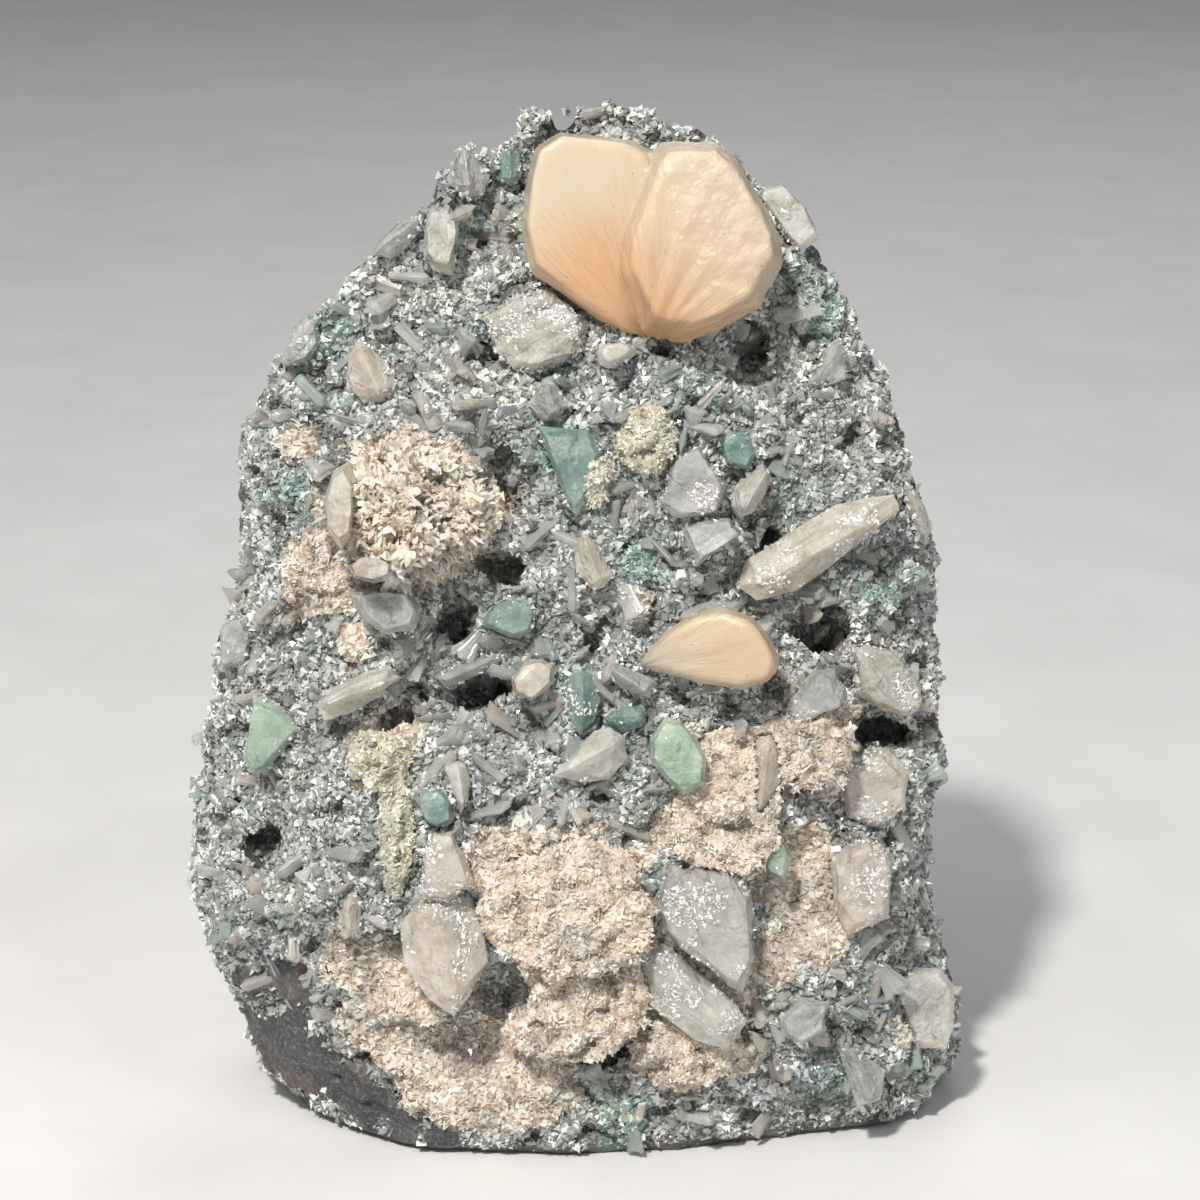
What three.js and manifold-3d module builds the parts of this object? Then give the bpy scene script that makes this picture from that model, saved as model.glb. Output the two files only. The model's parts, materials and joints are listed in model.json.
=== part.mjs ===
// Green apophyllite with heulandite and stilbite on a hump of basalt, standing on its sawn base.
// Units are millimetres. +Z is up, the crystal face looks along -Y, and +X is to the viewer's right.
// The rock is one rough solid. Every larger crystal is a solid of its own, seated in a socket in the rock.
// Crystal outlines are traced by eye on a square photograph of the specimen, and cast onto the rock.
import * as THREE from "three";
import { ConvexGeometry } from "three/addons/geometries/ConvexGeometry.js";
import { ImprovedNoise } from "three/addons/math/ImprovedNoise.js";
import { mergeVertices } from "three/addons/utils/BufferGeometryUtils.js";
import Module from "manifold-3d";

const wasm = await Module();
wasm.setup();

// The viewpoint of the photograph, used only to place what is traced on it.
const view = {
  target: new THREE.Vector3(6.6, 0, 118),
  distance: 750,
  elevationDeg: 18,
  frameHeight: 275,
  framePixels: 1200,
  rockMiddle: [571, 640],
};

// How the rock is meshed, and how rough it is.
const rockMesh = { rings: 23, frontColumns: 24, backColumns: 10, leastHeight: 1.2 };
// How square the rock's section is at the base and from shoulder height up. 2 is an ellipse.
const squareness = { frontAtBase: 2.1, front: 2.7, back: 2.3, shoulder: 40 };
const roughness = {
  front: [
    { wavelength: 34, amount: 4.2 },
    { wavelength: 15, amount: 2.6 },
    { wavelength: 8, amount: 1.5 },
  ],
  back: [
    { wavelength: 46, amount: 3.4 },
    { wavelength: 17, amount: 1.3 },
    { wavelength: 8, amount: 0.5 },
  ],
  turnsToFront: [-0.35, 0.25], // how far a face looks to the front where that roughness starts and is full
  atBase: 0.4, // the share of the roughness that the base outline keeps
};

// The rock's outline, from the sawn base to the crest: how far it reaches from the axis at height z.
const profile = [
  { z: 0, left: 70, right: 84, front: 44, back: 38 },
  { z: 6, left: 76, right: 90, front: 47, back: 42 },
  { z: 20, left: 80, right: 90, front: 49, back: 44 },
  { z: 45, left: 85, right: 85, front: 49, back: 45 },
  { z: 58, left: 90, right: 84, front: 49, back: 45 },
  { z: 73, left: 87, right: 85, front: 48, back: 44 },
  { z: 95, left: 83, right: 84, front: 46, back: 43 },
  { z: 115, left: 80, right: 83, front: 43, back: 41 },
  { z: 134, left: 75, right: 83, front: 40, back: 39 },
  { z: 152, left: 74, right: 78, front: 37, back: 37 },
  { z: 168, left: 71, right: 72, front: 33, back: 34 },
  { z: 184, left: 65, right: 64, front: 29, back: 31 },
  { z: 200, left: 56, right: 57, front: 24, back: 27 },
  { z: 213, left: 46, right: 53, front: 19, back: 23 },
  { z: 224, left: 38, right: 46, front: 15, back: 18 },
  { z: 232, left: 27, right: 38, front: 9, back: 12 },
];
const crest = { x: 10, y: 7, z: 236 };
const lean = 0.03; // the rock leans back this much for each millimetre of height

// Broken faces on the sides and the back: nothing reaches past each plane.
const fractures = [
  { normal: [0.1, 1, 0.12], reach: 49 },
  { normal: [0.75, 0.66, 0.1], reach: 79 },
  { normal: [-0.8, 0.6, 0.06], reach: 77 },
  { normal: [0.25, 0.85, 0.46], reach: 102 },
  { normal: [-0.55, 0.6, 0.58], reach: 132 },
  { normal: [0.6, 0.5, 0.62], reach: 158 },
  { normal: [0.97, -0.12, 0.2], reach: 106 },
  { normal: [-0.72, -0.55, -0.42], reach: 76 },
];

const fractureDepth = 0.9; // the share of what reaches past a plane that is broken off

// Swells and hollows of the crystal face: where they are in the photograph, how wide and how far out or in.
const relief = [
  { photo: [700, 385], radius: 13, out: 7 },
  { photo: [620, 108], radius: 9, out: 3 },
  { photo: [440, 172], radius: 9, out: 5 },
  { photo: [530, 118], radius: 8, out: 4 },
  { photo: [725, 142], radius: 9, out: 4 },
  { photo: [660, 470], radius: 20, out: 3.5 },
  { photo: [415, 425], radius: 14, out: 4.5 },
  { photo: [560, 580], radius: 17, out: 6 },
  { photo: [365, 650], radius: 15, out: 5 },
  { photo: [530, 770], radius: 18, out: 3 },
  { photo: [860, 590], radius: 15, out: 5 },
  { photo: [300, 900], radius: 18, out: 4 },
  { photo: [500, 920], radius: 30, out: 4 },
  { photo: [870, 1040], radius: 18, out: 4 },
  { photo: [300, 460], radius: 15, out: 3 },
  { photo: [510, 480], radius: 8, out: -9 },
  { photo: [500, 560], radius: 7, out: -8 },
  { photo: [455, 625], radius: 8, out: -9 },
  { photo: [480, 695], radius: 12, out: -9 },
  { photo: [410, 712], radius: 9, out: -6 },
  { photo: [262, 842], radius: 9, out: -7 },
  { photo: [815, 640], radius: 11, out: -9 },
  { photo: [885, 728], radius: 10, out: -7 },
  { photo: [765, 570], radius: 7, out: -6 },
  { photo: [750, 345], radius: 10, out: -9 },
  { photo: [505, 352], radius: 7, out: -5 },
  { photo: [605, 1055], radius: 8, out: -5 },
  { photo: [320, 450], radius: 8, out: -5 },
];

// Deep vugs with dark insides: half sizes across, up and down, and into the rock, in millimetres.
const vugs = [
  { photo: [512, 484], half: [3, 10, 11], turnDeg: -6 },
  { photo: [500, 566], half: [7, 4.5, 9], turnDeg: 20 },
  { photo: [456, 624], half: [5.5, 5, 11], turnDeg: -35 },
  { photo: [474, 692], half: [10, 3.6, 12], turnDeg: -16 },
  { photo: [392, 722], half: [5, 3, 8], turnDeg: -25 },
  { photo: [262, 844], half: [6, 3.8, 12], turnDeg: -32 },
  { photo: [884, 728], half: [8.5, 3.6, 12], turnDeg: 4 },
  { photo: [822, 634], half: [7, 6, 11], turnDeg: 30 },
  { photo: [773, 549], half: [5, 3.5, 8], turnDeg: -35 },
  { photo: [748, 345], half: [6, 5, 8], turnDeg: -30 },
  { photo: [606, 1056], half: [6.5, 3.2, 9], turnDeg: -20 },
  { photo: [500, 352], half: [4, 3, 7], turnDeg: 30 },
];

// How finely a vug is faceted, and how uneven its walls are.
const vugWalls = { detail: 1, spike: 0.22 };

// The larger crystals. outline is traced on the photograph; rise and sink are millimetres out of and into the
// rock. A tablet's face is the front facet's share of the outline, and its tilt leans that facet, in mm out
// per mm right and up. A blade or a wedge has a ridge in front instead, traced by its two ends.
const crystals = [
  { name: "stilbite_fan_low_right", finish: "peach", rise: 10, sink: 11, face: 0.84, tilt: [0.16, 0.2],
    outline: [[637, 665], [664, 631], [692, 615], [722, 606], [751, 617], [768, 638], [780, 665],
      [770, 680], [742, 689], [700, 683]] },
  { name: "apophyllite_green_centre", finish: "green", rise: 8, sink: 8, face: 0.82, tilt: [0.05, 0.12],
    outline: [[664, 718], [680, 720], [697, 739], [706, 758], [704, 785], [683, 794], [666, 780],
      [649, 757], [649, 738]] },
  { name: "apophyllite_green_left", finish: "green", rise: 7, sink: 9, face: 0.78, tilt: [-0.15, 0.2],
    outline: [[255, 695], [280, 703], [304, 728], [276, 750], [265, 771], [254, 774], [245, 758],
      [252, 727]] },
  { name: "apophyllite_green_upper", finish: "teal", rise: 4, sink: 9, face: 0.76, tilt: [0, 0.1],
    outline: [[537, 426], [588, 430], [603, 452], [590, 498], [576, 518], [566, 503], [546, 452]] },
  { name: "apophyllite_green_lower", finish: "green", rise: 6, sink: 8, face: 0.76, tilt: [0.1, 0.15],
    outline: [[747, 831], [765, 826], [784, 840], [791, 858], [784, 881], [770, 875], [756, 856]] },
  { name: "apophyllite_teal_glassy", finish: "teal", rise: 6, sink: 8, ridge: [[583, 676], [582, 722]],
    outline: [[564, 690], [574, 668], [592, 672], [600, 700], [594, 721], [580, 734], [569, 718]] },
  { name: "apophyllite_teal_low_left", finish: "teal", rise: 6, sink: 8, face: 0.8, tilt: [0, -0.15],
    outline: [[416, 801], [423, 788], [440, 786], [452, 799], [454, 820], [439, 827], [425, 820]] },
  { name: "apophyllite_teal_ridge", finish: "teal", rise: 4, sink: 8, ridge: [[610, 716], [640, 714]],
    outline: [[603, 713], [625, 703], [647, 707], [643, 727], [622, 734], [604, 726]] },
  { name: "apophyllite_teal_mid_left", finish: "teal", rise: 4, sink: 8, face: 0.8, tilt: [0.15, 0.1],
    outline: [[482, 626], [490, 606], [513, 594], [535, 597], [538, 616], [531, 632], [513, 638]] },
  { name: "apophyllite_dark_teal", finish: "teal", rise: 4, sink: 8, face: 0.8, tilt: [0.1, 0],
    outline: [[716, 439], [728, 430], [746, 434], [755, 455], [748, 470], [725, 466]] },
  { name: "apophyllite_teal_top", finish: "teal", rise: 4, sink: 7, ridge: [[510, 152], [511, 180]],
    outline: [[497, 155], [510, 145], [520, 158], [521, 178], [511, 187], [498, 178]] },
  { name: "apophyllite_milky", finish: "pale", rise: 8, sink: 9, ridge: [[568, 768], [614, 742]],
    outline: [[551, 776], [564, 760], [594, 730], [609, 727], [625, 736], [627, 756], [609, 777],
      [584, 782]] },
  { name: "apophyllite_milky_upright", finish: "pale", rise: 7, sink: 8, ridge: [[459, 768], [464, 804]],
    outline: [[445, 768], [454, 759], [466, 762], [471, 777], [469, 801], [461, 814], [456, 797]] },
  { name: "heulandite_long_blade", finish: "blush", rise: 9, sink: 10, ridge: [[764, 582], [882, 512]],
    outline: [[734, 587], [746, 560], [777, 543], [835, 505], [893, 494], [899, 512], [867, 530],
      [835, 562], [796, 591], [754, 601]] },
  { name: "stilbite_rim", finish: "blush", rise: 5, sink: 10, ridge: [[910, 494], [922, 532]],
    outline: [[901, 479], [909, 484], [925, 508], [931, 529], [925, 546], [916, 540], [906, 514]] },
  { name: "heulandite_sheaf_under_fan", finish: "straw", rise: 7, sink: 9, face: 0.8, tilt: [0.25, 0.12],
    outline: [[478, 320], [516, 296], [548, 291], [590, 322], [580, 360], [540, 373], [513, 370],
      [496, 354]] },
  { name: "apophyllite_white_knob", finish: "pale", rise: 8, sink: 6, face: 0.66, tilt: [0, 0.1],
    outline: [[595, 353], [603, 345], [620, 343], [636, 347], [637, 355], [622, 365], [609, 370],
      [599, 366]] },
  { name: "heulandite_blade_below_sheaf", finish: "smoke", rise: 7, sink: 8, ridge: [[547, 390], [556, 412]],
    outline: [[528, 404], [544, 378], [557, 382], [566, 406], [558, 418], [542, 423]] },
  { name: "heulandite_wedge_top_right", finish: "pale", rise: 5, sink: 9, face: 0.8, tilt: [-0.2, 0],
    outline: [[752, 192], [782, 184], [805, 208], [819, 238], [801, 255], [785, 240]] },
  { name: "heulandite_smoky_lens", finish: "smoke", rise: 7, sink: 8, ridge: [[466, 156], [470, 190]],
    outline: [[448, 184], [457, 152], [471, 144], [483, 161], [490, 178], [484, 198], [467, 202]] },
  { name: "heulandite_fan_upper_left", finish: "straw", rise: 7, sink: 8, face: 0.8, tilt: [0, -0.2],
    outline: [[431, 212], [448, 208], [459, 220], [460, 236], [452, 278], [434, 272], [425, 256]] },
  { name: "heulandite_lens_upper_left", finish: "smoke", rise: 6, sink: 8, ridge: [[385, 247], [412, 228]],
    outline: [[374, 256], [377, 243], [397, 223], [421, 217], [422, 232], [411, 247], [392, 259]] },
  { name: "heulandite_plate_left_edge", finish: "smoke", rise: 4, sink: 9, face: 0.85, tilt: [0, 0],
    outline: [[279, 360], [294, 327], [308, 315], [320, 318], [320, 345], [306, 362], [289, 367]] },
  { name: "stilbite_pink_blade", finish: "blush", rise: 8, sink: 8, ridge: [[362, 354], [382, 392]],
    outline: [[350, 355], [355, 342], [372, 346], [391, 365], [399, 384], [392, 403], [365, 405],
      [349, 386]] },
  { name: "stilbite_on_ball_upper", finish: "blush", rise: 22, sink: 8, face: 0.7, tilt: [0.35, 0],
    outline: [[328, 504], [336, 472], [352, 462], [362, 484], [364, 514], [360, 545], [346, 555],
      [333, 535]] },
  { name: "stilbite_on_ball_lower", finish: "blush", rise: 19, sink: 8, face: 0.7, tilt: [0, 0.2],
    outline: [[353, 565], [366, 556], [389, 556], [403, 563], [400, 577], [378, 583], [356, 578]] },
  { name: "heulandite_grey_half_lens", finish: "smoke", rise: 8, sink: 8, face: 0.76, tilt: [-0.1, 0.25],
    outline: [[350, 592], [382, 587], [410, 590], [424, 609], [418, 632], [386, 636], [362, 616]] },
  { name: "heulandite_blade_mid_left", finish: "straw", rise: 8, sink: 8, ridge: [[330, 703], [386, 681]],
    outline: [[313, 706], [323, 690], [354, 680], [389, 665], [400, 677], [385, 695], [354, 713],
      [323, 722]] },
  { name: "heulandite_blade_under_ball", finish: "smoke", rise: 4, sink: 9, ridge: [[447, 680], [490, 660]],
    outline: [[434, 676], [465, 660], [498, 652], [503, 659], [480, 675], [445, 688]] },
  { name: "stilbite_lobed_blade", finish: "blush", rise: 8, sink: 8, face: 0.78, tilt: [-0.2, -0.1],
    outline: [[510, 680], [523, 662], [543, 656], [557, 664], [554, 683], [532, 701], [516, 694]] },
  { name: "heulandite_grey_arm", finish: "smoke", rise: 6, sink: 8, ridge: [[614, 670], [646, 690]],
    outline: [[602, 658], [634, 666], [657, 680], [652, 700], [630, 694], [604, 676]] },
  { name: "heulandite_left_corner", finish: "smoke", rise: 3, sink: 10, face: 0.8, tilt: [0.1, 0],
    outline: [[219, 630], [231, 619], [252, 614], [254, 635], [245, 664], [220, 672]] },
  { name: "heulandite_upright_prism", finish: "blush", rise: 8, sink: 8, ridge: [[586, 544], [599, 580]],
    outline: [[574, 547], [585, 532], [600, 545], [613, 575], [605, 590], [588, 588], [577, 570]] },
  { name: "heulandite_blue_grey_block", finish: "smoke", rise: 7, sink: 9, face: 0.82, tilt: [0.2, 0.15],
    outline: [[657, 508], [667, 478], [676, 452], [700, 444], [714, 466], [727, 486], [716, 514],
      [680, 520]] },
  { name: "heulandite_striped_fan", finish: "smoke", rise: 9, sink: 8, face: 0.8, tilt: [0, -0.2],
    outline: [[678, 528], [700, 522], [730, 518], [742, 535], [722, 550], [694, 567]] },
  { name: "heulandite_raised_blade", finish: "pale", rise: 10, sink: 8, ridge: [[744, 508], [763, 474]],
    outline: [[735, 486], [762, 463], [769, 476], [766, 495], [752, 513], [738, 520], [730, 506]] },
  { name: "heulandite_right_block", finish: "straw", rise: 7, sink: 10, face: 0.88, tilt: [-0.3, 0.1],
    outline: [[843, 643], [864, 641], [894, 656], [915, 675], [925, 702], [910, 718], [885, 711],
      [857, 693]] },
  { name: "heulandite_right_triangle", finish: "smoke", rise: 7, sink: 9, ridge: [[824, 676], [836, 704]],
    outline: [[780, 714], [813, 671], [829, 667], [850, 695], [830, 708], [804, 724], [785, 727]] },
  { name: "heulandite_grey_blade_upper_right", finish: "smoke", rise: 5, sink: 8,
    ridge: [[816, 380], [838, 348]],
    outline: [[803, 382], [821, 351], [839, 337], [846, 355], [844, 378], [814, 391]] },
  { name: "stilbite_right_block", finish: "blush", rise: 5, sink: 9, face: 0.82, tilt: [-0.15, 0.15],
    outline: [[846, 756], [888, 748], [909, 770], [905, 808], [880, 828], [846, 816], [838, 782]] },
  { name: "stilbite_brown_blade", finish: "blush", rise: 6, sink: 8, ridge: [[766, 744], [760, 804]],
    outline: [[756, 736], [770, 732], [784, 751], [779, 780], [765, 812], [750, 816], [749, 778]] },
  { name: "stilbite_domed_prism", finish: "blush", rise: 9, sink: 9, face: 0.78, tilt: [0.05, 0.15],
    outline: [[829, 860], [844, 845], [865, 835], [881, 843], [892, 859], [887, 918], [846, 936],
      [832, 903]] },
  { name: "heulandite_clear_block", finish: "clear", rise: 10, sink: 10, face: 0.85, tilt: [0.15, 0.1],
    outline: [[652, 905], [667, 866], [708, 861], [737, 872], [751, 893], [753, 962], [741, 992],
      [702, 957], [664, 930]] },
  { name: "stilbite_bright_slab", finish: "pale", rise: 12, sink: 10, ridge: [[658, 952], [726, 1022]],
    outline: [[632, 951], [647, 932], [664, 941], [698, 972], [738, 1003], [747, 1020], [728, 1048],
      [694, 1037], [650, 1003]] },
  { name: "heulandite_corner_crystal", finish: "pale", rise: 5, sink: 10, face: 0.8, tilt: [-0.2, 0.15],
    outline: [[884, 976], [906, 966], [940, 968], [953, 984], [953, 1024], [945, 1048], [915, 1046],
      [900, 1010]] },
  { name: "heulandite_blade_low_right", finish: "smoke", rise: 5, sink: 8, ridge: [[850, 1052], [870, 1096]],
    outline: [[836, 1037], [857, 1045], [884, 1069], [881, 1099], [857, 1110], [848, 1078]] },
  { name: "heulandite_blue_plates", finish: "smoke", rise: 5, sink: 8, face: 0.8, tilt: [0, 0.15],
    outline: [[777, 1016], [801, 998], [828, 1000], [825, 1029], [801, 1044], [782, 1037]] },
  { name: "stilbite_left_lens", finish: "blush", rise: 5, sink: 8, ridge: [[350, 898], [352, 928]],
    outline: [[338, 923], [343, 900], [354, 889], [364, 905], [360, 930], [346, 937]] },
];

// Crystals grown together are one solid each.
const grownTogether = [
  { name: "peach_stilbite_fan", finish: "peach", lobes: [
    { rise: 12, sink: 9, face: 0.86, tilt: [-0.12, 0.16],
      outline: [[645, 340], [600, 322], [558, 286], [532, 275], [523, 233], [527, 186], [536, 152],
        [560, 136], [588, 141], [632, 144], [653, 156], [660, 240]] },
    { rise: 20, sink: 9, face: 0.82, tilt: [0.05, 0.1],
      outline: [[653, 157], [662, 149], [712, 148], [738, 170], [758, 212], [777, 240], [780, 266],
        [765, 285], [757, 310], [714, 335], [682, 346], [645, 338], [617, 279], [619, 250]] },
  ] },
  { name: "stilbite_cluster_low_left", finish: "blush", lobes: [
    { rise: 8, sink: 9, face: 0.8, tilt: [0, 0.15],
      outline: [[422, 897], [424, 856], [432, 831], [452, 830], [465, 851], [474, 884], [448, 900]] },
    { rise: 11, sink: 9, ridge: [[436, 904], [462, 990]],
      outline: [[402, 923], [417, 902], [445, 883], [470, 892], [483, 923], [488, 959], [470, 997],
        [455, 1016], [430, 999], [406, 963]] },
    { rise: 10, sink: 9, face: 0.8, tilt: [0.2, 0],
      outline: [[462, 1000], [486, 970], [514, 958], [534, 979], [531, 1005], [516, 1027], [482, 1034]] },
  ] },
];

// Cream stilbite crusts and the spiky ball: lumps that overlap, each a middle on the photograph, and half a
// width, height and depth in millimetres.
const crusts = [
  { name: "cream_spiky_ball", finish: "cream", spike: 0.2, detail: 2, lumps: [
    { photo: [412, 516], half: [17, 14.5, 14], out: 4 },
  ] },
  { name: "cream_crust_low_left", finish: "cream", spike: 0.1, detail: 1, lumps: [
    { photo: [376, 985], half: [12, 17, 5.5], out: 1 },
    { photo: [450, 1068], half: [22, 13, 6], out: 1 },
    { photo: [570, 910], half: [20, 16, 7], out: 2 },
    { photo: [572, 995], half: [19, 16, 6], out: 1 },
  ] },
  { name: "cream_crust_right", finish: "cream", spike: 0.12, detail: 1, lumps: [
    { photo: [728, 800], half: [13, 18, 5.5], out: 1 },
    { photo: [800, 750], half: [14, 9, 5], out: 1.5 },
    { photo: [800, 900], half: [13, 15, 5], out: 1 },
  ] },
  { name: "cream_crust_below_slab", finish: "cream", spike: 0.12, detail: 1, lumps: [
    { photo: [685, 1048], half: [13, 10, 5], out: 1 },
  ] },
  { name: "cream_crust_beside_ball", finish: "cream", spike: 0.14, detail: 1, lumps: [
    { photo: [326, 572], half: [10, 9, 4.5], out: 1 },
  ] },
  { name: "cream_tongue_left", finish: "straw", spike: 0.12, detail: 1, lumps: [
    { photo: [380, 756], half: [8, 7, 4.5], out: 2 },
    { photo: [396, 830], half: [4, 14, 4], out: 1.5 },
  ] },
  { name: "cream_knot_upper", finish: "straw", spike: 0.12, detail: 1, lumps: [
    { photo: [647, 440], half: [6.5, 8, 5], out: 2 },
  ] },
  { name: "cream_knot_beside_green", finish: "straw", spike: 0.12, detail: 1, lumps: [
    { photo: [596, 478], half: [4, 6, 4], out: 1.5 },
  ] },
];

// Small crystals that the rock itself carries: a few larger plates by hand, and a seeded scatter of grains.
const fusedPlate = { rise: 4, sink: 6, face: 0.6, tilt: [0, 0] };
const fusedPlates = [
  [[522, 106], [550, 102], [556, 115], [537, 127], [522, 122]],
  [[459, 127], [476, 125], [494, 138], [490, 150], [472, 143]],
  [[428, 186], [436, 158], [452, 150], [457, 166], [444, 192]],
  [[768, 400], [784, 381], [800, 388], [799, 402], [784, 412]],
  [[675, 574], [693, 564], [715, 573], [704, 587], [684, 597]],
  [[515, 507], [523, 485], [542, 494], [547, 522], [530, 537]],
  [[338, 824], [363, 826], [383, 844], [377, 859], [353, 855]],
  [[292, 804], [320, 795], [343, 808], [328, 823], [300, 826]],
  [[238, 935], [251, 908], [266, 926], [262, 944]],
];
const grainScatter = {
  seed: 11,
  count: 10,
  smallest: 2.6,
  largest: 5.2,
  tip: 0.35, // tip radius and foot radius, as shares of the width
  foot: 0.62,
  stretch: 1.5, // length for each millimetre of width
  sway: 0.8,
  left: 215, // the patch of the photograph that the grains fall on
  right: 935,
  top: 120,
  bottom: 1110,
};

// A crystal's foot is a smaller outline in the rock, and its side edge stands out by part of the rise.
const crystalBody = { footShare: 0.7, sideEdge: 0.4 };

const socketGap = { clearance: 0.45, furthest: 3 }; // how many times wider the gap may be at a sharp corner
const weldDistance = 1e-3;
const finishes = {
  rock: { color: 0x8d9a97, roughness: 0.75 },
  peach: { color: 0xe8b48a, roughness: 0.35 },
  green: { color: 0xa5cfae, roughness: 0.25 },
  teal: { color: 0x7fa69a, roughness: 0.25 },
  pale: { color: 0xcfc9bd, roughness: 0.3 },
  blush: { color: 0xc9b0a0, roughness: 0.35 },
  straw: { color: 0xc9c1a6, roughness: 0.35 },
  smoke: { color: 0x9aa3a0, roughness: 0.3 },
  clear: { color: 0xb9b1ab, roughness: 0.15 },
  cream: { color: 0xe2d5c0, roughness: 0.7 },
};

const noise = new ImprovedNoise();
const noiseStart = new THREE.Vector3(7.3, 1.9, 4.1);
const twoSided = new THREE.MeshBasicMaterial({ side: THREE.DoubleSide });
const up = new THREE.Vector3(0, 0, 1);
const elevation = THREE.MathUtils.degToRad(view.elevationDeg);
const towardsViewer = new THREE.Vector3(0, -Math.cos(elevation), Math.sin(elevation));
const pictureUp = new THREE.Vector3(0, Math.sin(elevation), Math.cos(elevation));
const pictureRight = new THREE.Vector3(1, 0, 0);
const eye = view.target.clone().addScaledVector(towardsViewer, view.distance);
const millimetresPerPixel = view.frameHeight / view.framePixels;

// Seeded random numbers from 0 to 1.
function randomFrom(seed) {
  let state = seed;
  return () => {
    state = (state * 1664525 + 1013904223) % 4294967296;
    return state / 4294967296;
  };
}

// The profile at a row number with a fraction, eased through its neighbours.
function profileAt(row) {
  const last = profile.length - 1;
  const start = Math.min(Math.floor(row), last - 1);
  const share = row - start;
  const [before, from, to, after] = [start - 1, start, start + 1, start + 2].map(
    (k) => profile[Math.min(Math.max(k, 0), last)],
  );
  const eased = {};
  for (const key of Object.keys(from)) {
    const knots = [before, from, to, after].map((at, k) => new THREE.Vector2(k, at[key]));
    const curve = new THREE.SplineCurve(knots);
    eased[key] = curve.getPoint((1 + share) / 3).y;
  }
  return eased;
}

// A point of the smooth rock, before it is roughened. turn runs from 0 to 2 PI, and the front is past PI.
function smoothPoint(row, turn) {
  const at = profileAt(row);
  const isFront = turn > Math.PI;
  const frontSquareness = THREE.MathUtils.lerp(
    squareness.frontAtBase,
    squareness.front,
    Math.min(at.z / squareness.shoulder, 1),
  );
  const power = 2 / (isFront ? frontSquareness : squareness.back);
  const across = Math.sign(Math.cos(turn)) * Math.abs(Math.cos(turn)) ** power;
  const deep = Math.abs(Math.sin(turn)) ** power;
  const x = across > 0 ? across * at.right : across * at.left;
  const y = isFront ? -deep * at.front : deep * at.back;
  return new THREE.Vector3(x, y + lean * at.z, at.z);
}

// The closed smooth rock: rings from the base to the crest, with a flat base and a blunt top.
function smoothRock() {
  const columns = rockMesh.frontColumns + rockMesh.backColumns;
  const points = [];
  for (let ring = 0; ring <= rockMesh.rings; ring++) {
    const row = (ring / rockMesh.rings) * (profile.length - 1);
    for (let column = 0; column < columns; column++) {
      const isBack = column < rockMesh.backColumns;
      const turn = isBack
        ? (column / rockMesh.backColumns) * Math.PI
        : Math.PI * (1 + (column - rockMesh.backColumns) / rockMesh.frontColumns);
      points.push(smoothPoint(row, turn));
    }
  }
  const baseMiddle = points.push(new THREE.Vector3(0, 0, 0)) - 1;
  const crestMiddle = points.push(new THREE.Vector3(crest.x, crest.y, crest.z)) - 1;
  const faces = [];
  for (let column = 0; column < columns; column++) {
    const next = (column + 1) % columns;
    faces.push(baseMiddle, next, column);
    const top = rockMesh.rings * columns;
    faces.push(crestMiddle, top + column, top + next);
    for (let ring = 0; ring < rockMesh.rings; ring++) {
      const low = ring * columns;
      const high = low + columns;
      faces.push(low + column, low + next, high + next, low + column, high + next, high + column);
    }
  }
  const geometry = new THREE.BufferGeometry().setFromPoints(points).setIndex(faces);
  geometry.computeVertexNormals();
  return geometry;
}

// Where the line of sight through a pixel of the photograph meets a mesh, or null.
function sightOn(mesh, [x, y]) {
  const aim = view.target
    .clone()
    .addScaledVector(pictureRight, (x - view.framePixels / 2) * millimetresPerPixel)
    .addScaledVector(pictureUp, (view.framePixels / 2 - y) * millimetresPerPixel);
  const hits = new THREE.Raycaster(eye, aim.sub(eye).normalize()).intersectObject(mesh);
  return hits.length ? hits[0].point : null;
}

// The same, but a pixel just past the rock's edge is brought in until its line of sight meets the rock.
function seatOn(mesh, [x, y], steps = 60) {
  for (let step = 0; step < steps; step++) {
    const share = step / steps;
    const pixel = [x + (view.rockMiddle[0] - x) * share, y + (view.rockMiddle[1] - y) * share];
    const seat = sightOn(mesh, pixel);
    if (seat) return seat;
  }
  throw new Error("no line of sight near " + [x, y]);
}

function roughnessAt(point, bands) {
  return bands.reduce((sum, band) => {
    const at = point.clone().divideScalar(band.wavelength).add(noiseStart);
    return sum + band.amount * noise.noise(at.x, at.y, at.z);
  }, 0);
}

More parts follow.
